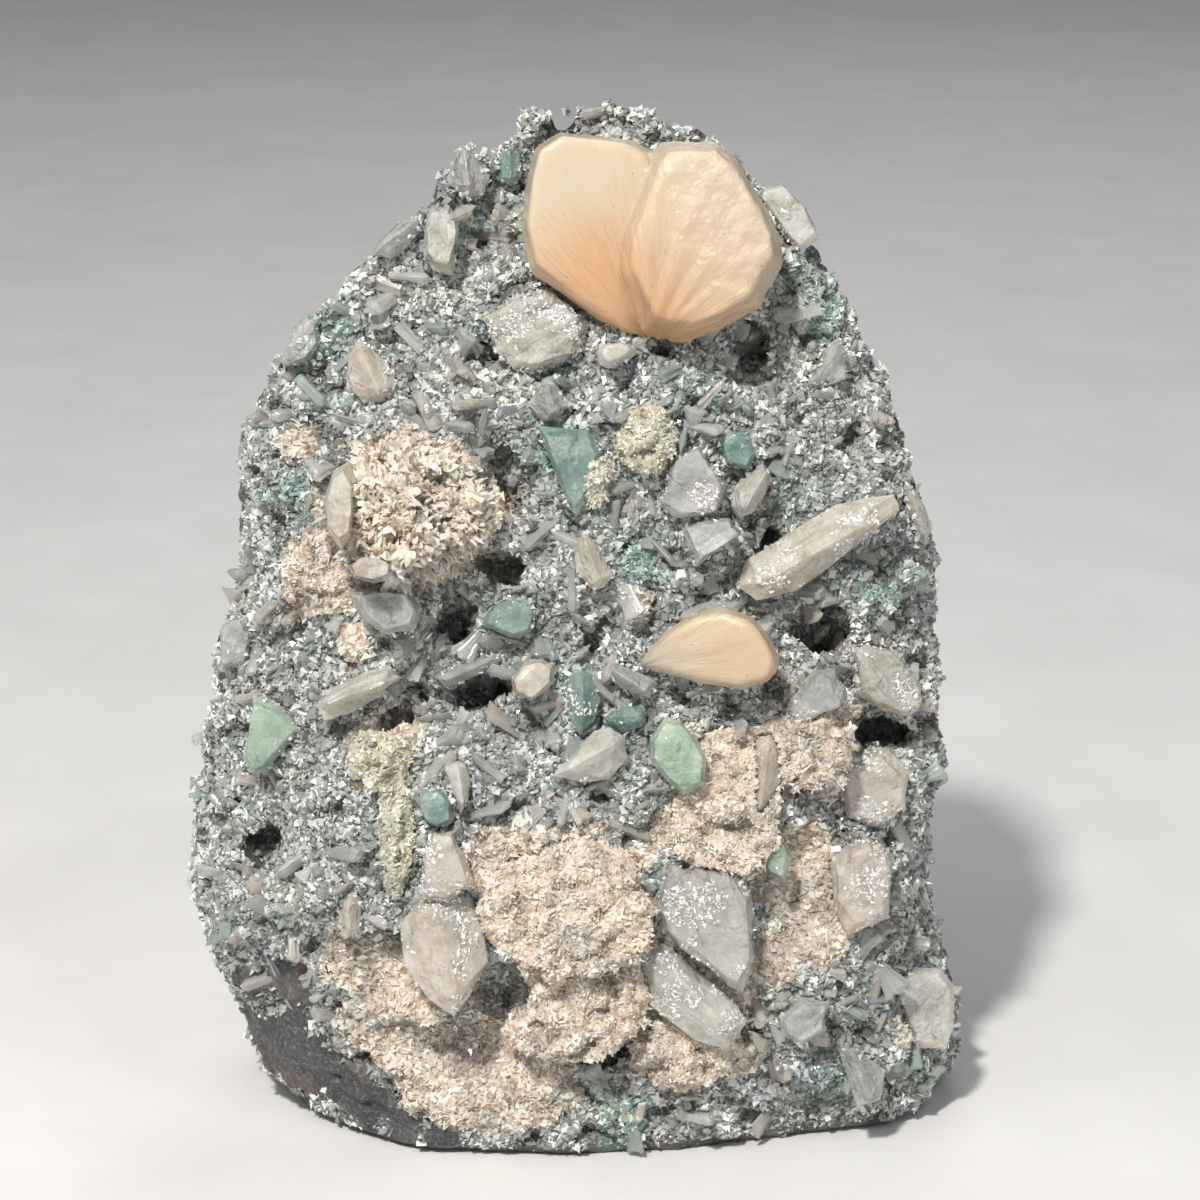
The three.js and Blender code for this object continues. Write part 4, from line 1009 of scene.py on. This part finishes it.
# A crystal's own directions: along its fibres, across them on the picture plane, and out of the rock.
def fibreAxes(node, points):
    middle = points.mean(0)
    right, up, out = (np.array(v) for v in (pictureRight, pictureUp, towardsViewer))
    if node in fibreLines:
        root, tip = (np.array(onPicture(pixel, middle)) for pixel in fibreLines[node])
        along = tip - root
        start = root
    else:
        flat = np.stack([(points - middle) @ right, (points - middle) @ up], 1)
        values, vectors = np.linalg.eigh(flat.T @ flat)
        along = right * vectors[0, 1] + up * vectors[1, 1]
        reach = (points - middle) @ along
        across = np.abs((points - middle) @ np.cross(out, along))
        if across[reach > 0].mean() < across[reach < 0].mean():
            along = -along
            reach = -reach
        start = middle + along * reach.min()
    along = along / np.linalg.norm(along)
    return start, along, np.cross(out, along), out


# Where a pixel's line of sight crosses the plane through a point that faces the viewer.
def onPicture(pixel, place):
    sight = sightLine(pixel)
    depth = (Vector(place) - eyePlace).dot(towardsViewer) / sight.dot(towardsViewer)
    return eyePlace + sight * depth


# Cuts slanting facets off the edges of the front, so the faces meet the light at different angles.
def chiselEdges(cut, node, look):
    chance = random.Random(node)
    points = np.array([v.co for v in cut.verts])
    middle = points.mean(0)
    out, right, up = (np.array(v) for v in (towardsViewer, pictureRight, pictureUp))
    turn = chance.uniform(0, 2 * math.pi)
    for k in range(look["facets"]):
        turn += 2 * math.pi / look["facets"] + chance.uniform(-0.25, 0.25)
        lean = math.radians(chance.uniform(22, 46))
        sideways = right * math.cos(turn) + up * math.sin(turn)
        facing = out * math.cos(lean) + sideways * math.sin(lean)
        reach = ((points - middle) @ sideways).max()
        rise = ((points - middle) @ out).max()
        # the plane starts on the front face, a share of the way in from the edge
        start = middle + out * rise + sideways * reach * (1 - look["chamfer"] * chance.uniform(0.9, 2.6))
        geometry = cut.verts[:] + cut.edges[:] + cut.faces[:]
        found = bmesh.ops.bisect_plane(cut, geom=geometry, plane_co=Vector(start), plane_no=Vector(facing),
                                       clear_outer=True)
        rim = [e for e in found["geom_cut"] if isinstance(e, bmesh.types.BMEdge)]
        bmesh.ops.edgeloop_fill(cut, edges=rim)
    bmesh.ops.recalc_face_normals(cut, faces=cut.faces)


# Cuts every face along the fibres and across them, then steps the strips in and out.
def striate(node, look):
    piece = mergedCopy(node, node + "_crystal")
    cut = bmesh.new()
    cut.from_mesh(piece.data)
    bmesh.ops.dissolve_limit(cut, angle_limit=math.radians(1.5), verts=cut.verts, edges=cut.edges)
    chiselEdges(cut, node, look)
    if look["bevel"]:
        sharp = [e for e in cut.edges if e.is_manifold and e.calc_face_angle(0) > math.radians(22)]
        bmesh.ops.bevel(cut, geom=sharp, offset=look["bevel"] * mm, segments=1, affect="EDGES",
                        clamp_overlap=True)
    points = np.array([v.co for v in cut.verts])
    start, along, across, out = fibreAxes(node, points)
    reach = (points - start) @ along
    length = np.ptp(reach)
    focus = start + along * (reach.min() - look["focus"] * length)
    span = length * (1 + look["focus"])
    side = (points - focus) @ across / np.maximum((points - focus) @ along, 0.2 * span) * span
    planes = []
    for place in np.arange(side.min(), side.max(), look["strip"] * mm):
        shift = 0.3 * look["strip"] * mm * noise.noise(Vector((place * 900, 1, 2)))
        planes.append((focus, np.cross(along * span + across * (place + shift), out)))
    depth = (points - focus) @ out
    for place in np.arange(depth.min(), depth.max(), look["ledge"] * mm):
        planes.append((focus + out * place, out + along * 0.05))
    for share in np.linspace(0.08, 0.95, look["across"]):
        planes.append((start + along * (reach.min() + share * length), along + across * 0.1))
    for place, facing in planes:
        geometry = cut.verts[:] + cut.edges[:] + cut.faces[:]
        facing = Vector(facing).normalized()
        bmesh.ops.bisect_plane(cut, geom=geometry, plane_co=Vector(place), plane_no=facing)
    cut.to_mesh(piece.data)
    cut.free()
    mesh = piece.data
    points, normals = pointsOf(mesh), normalsOf(mesh)
    reach = (points - start) @ along
    fan = (points - focus) @ across / np.maximum((points - focus) @ along, 0.2 * span) * span
    depth = (points - focus) @ out
    share = (reach - reach.min()) / np.ptp(reach)
    wave = look["strip"] * mm * 0.45
    ribs = noiseOf(np.stack([fan / wave, depth / wave / 2, share * 1.5], 1))
    swell = noiseAt(points, 6.0, 3.0) * look["swell"] - 0.2 * look["swell"]
    broad = noiseOf(np.stack([fan / 0.0031, depth / 0.006, share * 1.3], 1))
    steps = np.round(broad * 4) / 4 * look["broadOut"]
    middle = points.mean(0)
    sideways = (points - middle) - np.outer((points - middle) @ out, out)
    fromMiddle = np.linalg.norm(sideways, axis=1)
    crown = look["crown"] * (0.5 - (fromMiddle / fromMiddle.max()) ** 2) * np.clip(normals @ out, 0, 1)
    moved = points + normals * ((ribs * look["stepOut"] + swell + steps + crown) * mm)[:, None]
    back = smoothStep(0.75, 1.0, share) * (0.5 + 0.5 * ribs) * look["ragged"] * mm
    setPoints(mesh, moved - np.outer(back, along))
    storeVector(mesh, "fibre", np.stack([reach, fan, depth], 1) / mm)
    storeFloat(mesh, "reach", share)
    # the rim share carries the painted shade and highlight of the finish
    storeFloat(mesh, "rim", fromMiddle / fromMiddle.max())
    flatShade(mesh)
    return piece


def crystalFinish(name, look):
    material, tree, shader = newMaterial(name)
    stretched = addNode(tree, "ShaderNodeMapping", None, Vector=attribute(tree, "fibre", "Vector"))
    stretched.inputs["Scale"].default_value = (look["stretch"], 1.0, 0.4)
    lines = noiseTexture(tree, look["line"] * 0.6, 4.0, 0.65, stretched.outputs["Vector"])
    cloud = noiseTexture(tree, 4.5, 5.0, 0.65)
    grain = noiseTexture(tree, 0.9, 3.0, 0.6)
    dark, middle, pale = look["colours"]
    colour = ramp(tree, cloud, [(0.32, dark), (0.5, middle), (0.68, pale)])
    streak = ramp(tree, lines, [(0.32, (0.66, 0.66, 0.65)), (0.5, (1.0, 1.0, 1.0)), (0.7, (1.1, 1.1, 1.1))])
    colour = shaded(tree, look["streak"], colour, streak)
    flecks = ramp(tree, grain, [(0.36, (0.86, 0.86, 0.85)), (0.5, (1.0, 1.0, 1.0)),
                                (0.66, (1.08, 1.08, 1.08))])
    patches = mapRange(tree, noiseTexture(tree, 6.5, 3.0, 0.6), 0.5, 0.62, 0.1, 1)
    broken = product(tree, noiseTexture(tree, 1.5, 3.0, 0.75), patches)
    colour = shaded(tree, 0.6, colour, flecks)
    # painted shade darkens the middle, and a painted highlight makes it paler towards the rim
    depth = ramp(tree, attribute(tree, "rim"), [(0.25, (0.86, 0.87, 0.86)), (0.7, (1.0, 1.0, 1.0)),
                                                (1.0, (1.12, 1.11, 1.1))])
    colour = mixColour(tree, 1.0, colour, depth, "MULTIPLY")
    # the foot is greyer than the end
    foot = mapRange(tree, attribute(tree, "reach"), 0.0, 0.5, 0.35, 0)
    colour = shaded(tree, foot, colour, (0.7, 0.74, 0.74, 1))
    tree.links.new(colour, shader.inputs["Base Color"])
    tree.links.new(mapRange(tree, cloud, 0.35, 0.65, *look["roughness"]), shader.inputs["Roughness"])
    shader.inputs["IOR"].default_value = 1.52
    shader.inputs["Transmission Weight"].default_value = look["transmission"]
    shader.inputs["Subsurface Weight"].default_value = look["subsurface"]
    shader.inputs["Subsurface Radius"].default_value = look["radius"]
    shader.inputs["Subsurface Scale"].default_value = 1.0
    combed = bump(tree, lines, 0.3, 0.25 + 0.6 * look["streak"])
    pitted = bump(tree, grain, look["pitted"], 0.7, combed)
    # patches of small broken faces that catch the light
    tree.links.new(bump(tree, broken, 1.0, 1.0, pitted), shader.inputs["Normal"])
    return material


# The peach fans: fibres spread from an apex, where the colour is deepest. Lengths are millimetres.
fanLook = {
    "voxel": 0.6,
    "bevel": 1.1,
    "ribSize": 0.8,
    "smoothSteps": 12,
    "inflate": 0.25,
    "ribOut": 0.12,
    "stepSize": 4.5,
    "stepOut": 0.6,
    "scaleSize": 3.4,
    "scaleOut": 1.0,
    "crown": 1.4,
}
# Apex, the line between smooth and rough, reach and the warmest spot in pixels of the photograph.
fanPlans = {
    "peach_stilbite_fan": {
        "apex": (648, 350), "split": 655, "reach": 205, "warm": (590, 270, 62), "paler": 0, "ashen": 0,
    },
    "stilbite_fan_low_right": {
        "apex": (636, 668), "split": 745, "reach": 150, "warm": (746, 652, 44), "paler": 0.45, "ashen": 0.85,
    },
}


def peachFan(node, plan):
    piece = mergedCopy(node, node + "_crystal")
    edges = piece.modifiers.new("edges", "BEVEL")
    edges.width = fanLook["bevel"] * mm
    edges.segments = 2
    edges.angle_limit = math.radians(25)
    settle(piece)
    remesh(piece, fanLook["voxel"], fanLook["smoothSteps"])
    mesh = piece.data
    points, normals = pointsOf(mesh), normalsOf(mesh)
    out, right, up = (np.array(v) for v in (towardsViewer, pictureRight, pictureUp))
    apex = np.array(onPicture(plan["apex"], points.mean(0)))
    across, high, depth = (points - apex) @ right, (points - apex) @ up, (points - apex) @ out
    radius, turn = np.hypot(across, high), np.arctan2(across, high)
    perPixel = photoView["frameHeight"] / photoView["pixels"] * mm
    arc = turn * plan["reach"] * perPixel * 0.7
    ribs = noiseOf(np.stack([arc / (fanLook["ribSize"] * mm), radius / 0.03, depth / 0.003], 1))
    broad = noiseOf(np.stack([arc / (fanLook["stepSize"] * mm), radius / 0.016, depth / 0.006], 1))
    pixels = pixelsOf(points)
    share = radius / (plan["reach"] * perPixel)
    rough = smoothStep(-30, 60, pixels[:, 0] - plan["split"]) * smoothStep(0.25, 0.6, share)
    scales = np.round(noiseAt(points, fanLook["scaleSize"], 3.0) * 3) / 3 + noiseAt(points, 1.3, 6.0) * 0.35
    front = np.clip(normals @ out, 0, 1)
    middle = points.mean(0)
    fromMiddle = np.linalg.norm((points - middle) - np.outer((points - middle) @ out, out), axis=1)
    crown = fanLook["crown"] * (0.4 - (fromMiddle / fromMiddle.max()) ** 2) * front
    combed = (1 - 0.85 * rough) * smoothStep(0.95, 0.35, share)
    lift = (ribs * fanLook["ribOut"] + np.round(broad * 5) / 5 * fanLook["stepOut"]) * (0.2 + 0.8 * combed)
    lift += scales * fanLook["scaleOut"] * rough * 0.5 + crown + fanLook["inflate"]
    setPoints(mesh, points + normals * lift[:, None] * mm)
    x, y, size = plan["warm"]
    warm = smoothStep(size * 1.4, size * 0.2, np.hypot(pixels[:, 0] - x, pixels[:, 1] - y))
    storeVector(mesh, "fibre", np.stack([radius, arc, depth], 1) / mm)
    storeFloat(mesh, "reach", share * (1 - plan["paler"]) + plan["paler"])
    storeFloat(mesh, "rough", rough)
    storeFloat(mesh, "combed", combed)
    storeFloat(mesh, "warm", warm * (1 - 0.6 * plan["ashen"]))
    storeFloat(mesh, "ashen", smoothStep(0.5, 0.05, share) * plan["ashen"])
    flatShade(mesh, False)
    return piece


def fanFinish():
    material, tree, shader = newMaterial("peach_stilbite_fan")
    stretched = addNode(tree, "ShaderNodeMapping", None, Vector=attribute(tree, "fibre", "Vector"))
    stretched.inputs["Scale"].default_value = (0.04, 1.0, 0.3)
    lines = noiseTexture(tree, 0.5, 4.0, 0.65, stretched.outputs["Vector"])
    pores = noiseTexture(tree, 1.1, 4.0, 0.65)
    cloud = noiseTexture(tree, 9.0, 3.0, 0.55)
    reach = addNode(tree, "ShaderNodeMath", {"operation": "MULTIPLY_ADD"})
    tree.links.new(cloud, reach.inputs[0])
    reach.inputs[1].default_value = 0.3
    tree.links.new(attribute(tree, "reach"), reach.inputs[2])
    colour = ramp(tree, reach.outputs[0], [(0.1, (0.5, 0.25, 0.11)), (0.34, (0.62, 0.39, 0.23)),
                                           (0.6, (0.63, 0.48, 0.33)), (0.95, (0.63, 0.54, 0.4))])
    colour = mixColour(tree, shareOf(tree, "warm", 0.65), colour, (0.66, 0.37, 0.19, 1))
    colour = mixColour(tree, shareOf(tree, "rough", 0.4), colour, (0.63, 0.49, 0.38, 1))
    colour = mixColour(tree, attribute(tree, "ashen"), colour, (0.5, 0.46, 0.4, 1))
    streak = ramp(tree, lines, [(0.32, (0.86, 0.82, 0.78)), (0.5, (1.0, 1.0, 1.0)),
                                (0.68, (1.06, 1.07, 1.08))])
    combed = mapRange(tree, attribute(tree, "combed"), 0, 1, 0.2, 1)
    colour = shaded(tree, combed, colour, streak)
    specks = ramp(tree, noiseTexture(tree, 1.3, 2.0), [(0.72, (1.0, 1.0, 1.0)), (0.76, (0.45, 0.38, 0.3))])
    colour = mixColour(tree, 1.0, colour, specks, "MULTIPLY")
    tree.links.new(colour, shader.inputs["Base Color"])
    tree.links.new(mapRange(tree, attribute(tree, "rough"), 0, 1, 0.12, 0.3), shader.inputs["Roughness"])
    shader.inputs["IOR"].default_value = 1.5
    shader.inputs["Transmission Weight"].default_value = 0.08
    shader.inputs["Subsurface Weight"].default_value = 0.5
    shader.inputs["Subsurface Radius"].default_value = (0.008, 0.0045, 0.0025)
    shader.inputs["Subsurface Scale"].default_value = 1.0
    ridged = bump(tree, product(tree, lines, combed), 0.2, 0.8)
    coarse = product(tree, pores, mapRange(tree, attribute(tree, "rough"), 0, 1, 0.3, 1))
    tree.links.new(bump(tree, coarse, 0.7, 0.6, ridged), shader.inputs["Normal"])
    return material


crystalFinishes = {slot: crystalFinish(slot, look) for slot, look in crystalLooks.items()}
peachFinish = fanFinish()
crystalPieces, crystalTriangles = {}, 0
for node in crystalNodes:
    if node in fanPlans:
        piece = peachFan(node, fanPlans[node])
        piece.data.materials.append(peachFinish)
    else:
        piece = striate(node, crystalLooks[slotOf[node]])
        piece.data.materials.append(crystalFinishes[slotOf[node]])
    crystalPieces[node] = piece
    crystalTriangles += triangleCount(piece.data)
    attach(piece, "root")
    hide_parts(node)
print("stage: crystals,", crystalTriangles, "triangles")


# Small bright flakes on the faces of some crystals, in patches
flakePlan = {
    "nodes": (
        "heulandite_clear_block", "stilbite_bright_slab", "stilbite_cluster_low_left",
        "heulandite_blue_grey_block", "heulandite_right_block", "heulandite_long_blade",
        "stilbite_domed_prism", "stilbite_right_block", "apophyllite_teal_glassy",
        "heulandite_sheaf_under_fan",
    ),
    "voxel": 0.7, "patch": 7.0, "density": 2.2, "smallest": 0.5, "largest": 1.5, "tilt": 50, "seed": 71,
}
flakeStops = [(0.0, (0.62, 0.58, 0.54)), (0.4, (0.86, 0.84, 0.8)), (1.0, (0.98, 0.98, 0.97))]
flakeShapes = shapeGroup("flake_shapes", [
    grainShape("flake_four", 4, [(-0.3, 0.62)], 0.2, 0.6, 0.3),
    grainShape("flake_three", 3, [(-0.3, 0.7)], 0.22, 0.8, -0.25),
    grainShape("flake_block", 4, [(-0.3, 0.5), (0.16, 0.48)], None, 0.6),
    grainShape("flake_long", 4, [(-0.3, 0.6), (0.12, 0.56)], None, 0.35),
])


def makeFlakes():
    shell = bmesh.new()
    for node in flakePlan["nodes"]:
        shell.from_mesh(crystalPieces[node].data)
    mesh = bpy.data.meshes.new("flake_ground")
    shell.to_mesh(mesh)
    shell.free()
    ground = newObject("flake_ground", mesh)
    remesh(ground, flakePlan["voxel"])
    mesh = ground.data
    points = pointsOf(mesh)
    out = np.array(towardsViewer)
    share = noiseAt(points, flakePlan["patch"], 4.0) + 0.3 * noiseAt(points, 1.7, 9.0)
    facing = smoothStep(0.1, 0.5, normalsOf(mesh) @ out)
    storeFloat(mesh, "cover", smoothStep(0.04, 0.22, share) * facing)
    finish = chipFinish("crystal_flakes", flakeStops, 0.1)
    flakes = scatterOn(ground, "crystal_flakes", flakeShapes, finish, "cover", flakePlan)
    bpy.data.objects.remove(ground)
    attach(flakes, "root")


makeFlakes()


# Floor and lights
def makeStage():
    bpy.ops.mesh.primitive_plane_add(size=14, location=(0, 3, 0))
    floor = bpy.context.object
    floor.name = "floor"
    material, tree, shader = newMaterial("pale_floor")
    shade = ramp(tree, noiseTexture(tree, 60.0), [(0.3, (0.72, 0.71, 0.7)), (0.7, (0.78, 0.77, 0.76))])
    tree.links.new(shade, shader.inputs["Base Color"])
    shader.inputs["Roughness"].default_value = 0.55
    floor.data.materials.append(material)


# Each light: around and above the middle in degrees, distance and size in metres, power in watts, colour.
lightPlan = {
    "key": {
        "azimuth": -20, "height": 50, "distance": 1.5, "size": 0.13, "power": 23.5,
        "colour": (1, 0.97, 0.93),
    },
    "fill": {
        "azimuth": 45, "height": 25, "distance": 1.8, "size": 1.4, "power": 2.6,
        "colour": (0.93, 0.97, 1),
    },
    "panel": {
        "azimuth": -48, "height": 62, "distance": 1.3, "size": 0.9, "power": 2.6,
        "colour": (1, 1, 1),
    },
    "left spark": {
        "azimuth": -58, "height": 32, "distance": 1.2, "size": 0.05, "power": 0.8,
        "colour": (1, 1, 1),
    },
    "right spark": {
        "azimuth": 34, "height": 52, "distance": 1.2, "size": 0.05, "power": 0.8,
        "colour": (1, 1, 1),
    },
    "low spark": {
        "azimuth": 8, "height": 8, "distance": 1.2, "size": 0.05, "power": 0.4,
        "colour": (1, 1, 1),
    },
    "back": {
        "azimuth": 170, "height": 45, "distance": 1.8, "size": 1.0, "power": 5,
        "colour": (1, 1, 1),
    },
}
skyLook = {"colour": (0.86, 0.89, 0.93, 1), "strength": 0.2}


def makeLights():
    middle = (cadLow + cadHigh) / 2
    for name, plan in lightPlan.items():
        data = bpy.data.lights.new(name, "AREA")
        data.shape, data.size, data.energy, data.color = "DISK", plan["size"], plan["power"], plan["colour"]
        around, up = math.radians(plan["azimuth"]), math.radians(plan["height"])
        away = Vector((math.sin(around) * math.cos(up), -math.cos(around) * math.cos(up), math.sin(up)))
        holder = bpy.data.objects.new(name, data)
        holder.location = middle + away * plan["distance"]
        holder.rotation_mode = "QUATERNION"
        holder.rotation_quaternion = away.to_track_quat("Z", "Y")
        bpy.context.scene.collection.objects.link(holder)
    world = bpy.data.worlds.new("studio")
    world.use_nodes = True
    sky = world.node_tree.nodes["Background"]
    sky.inputs["Color"].default_value = skyLook["colour"]
    sky.inputs["Strength"].default_value = skyLook["strength"]
    bpy.context.scene.world = world
    bpy.context.scene.view_settings.view_transform = "Standard"
    print("stage: floor and", len(lightPlan), "lights")


makeStage()
makeLights()
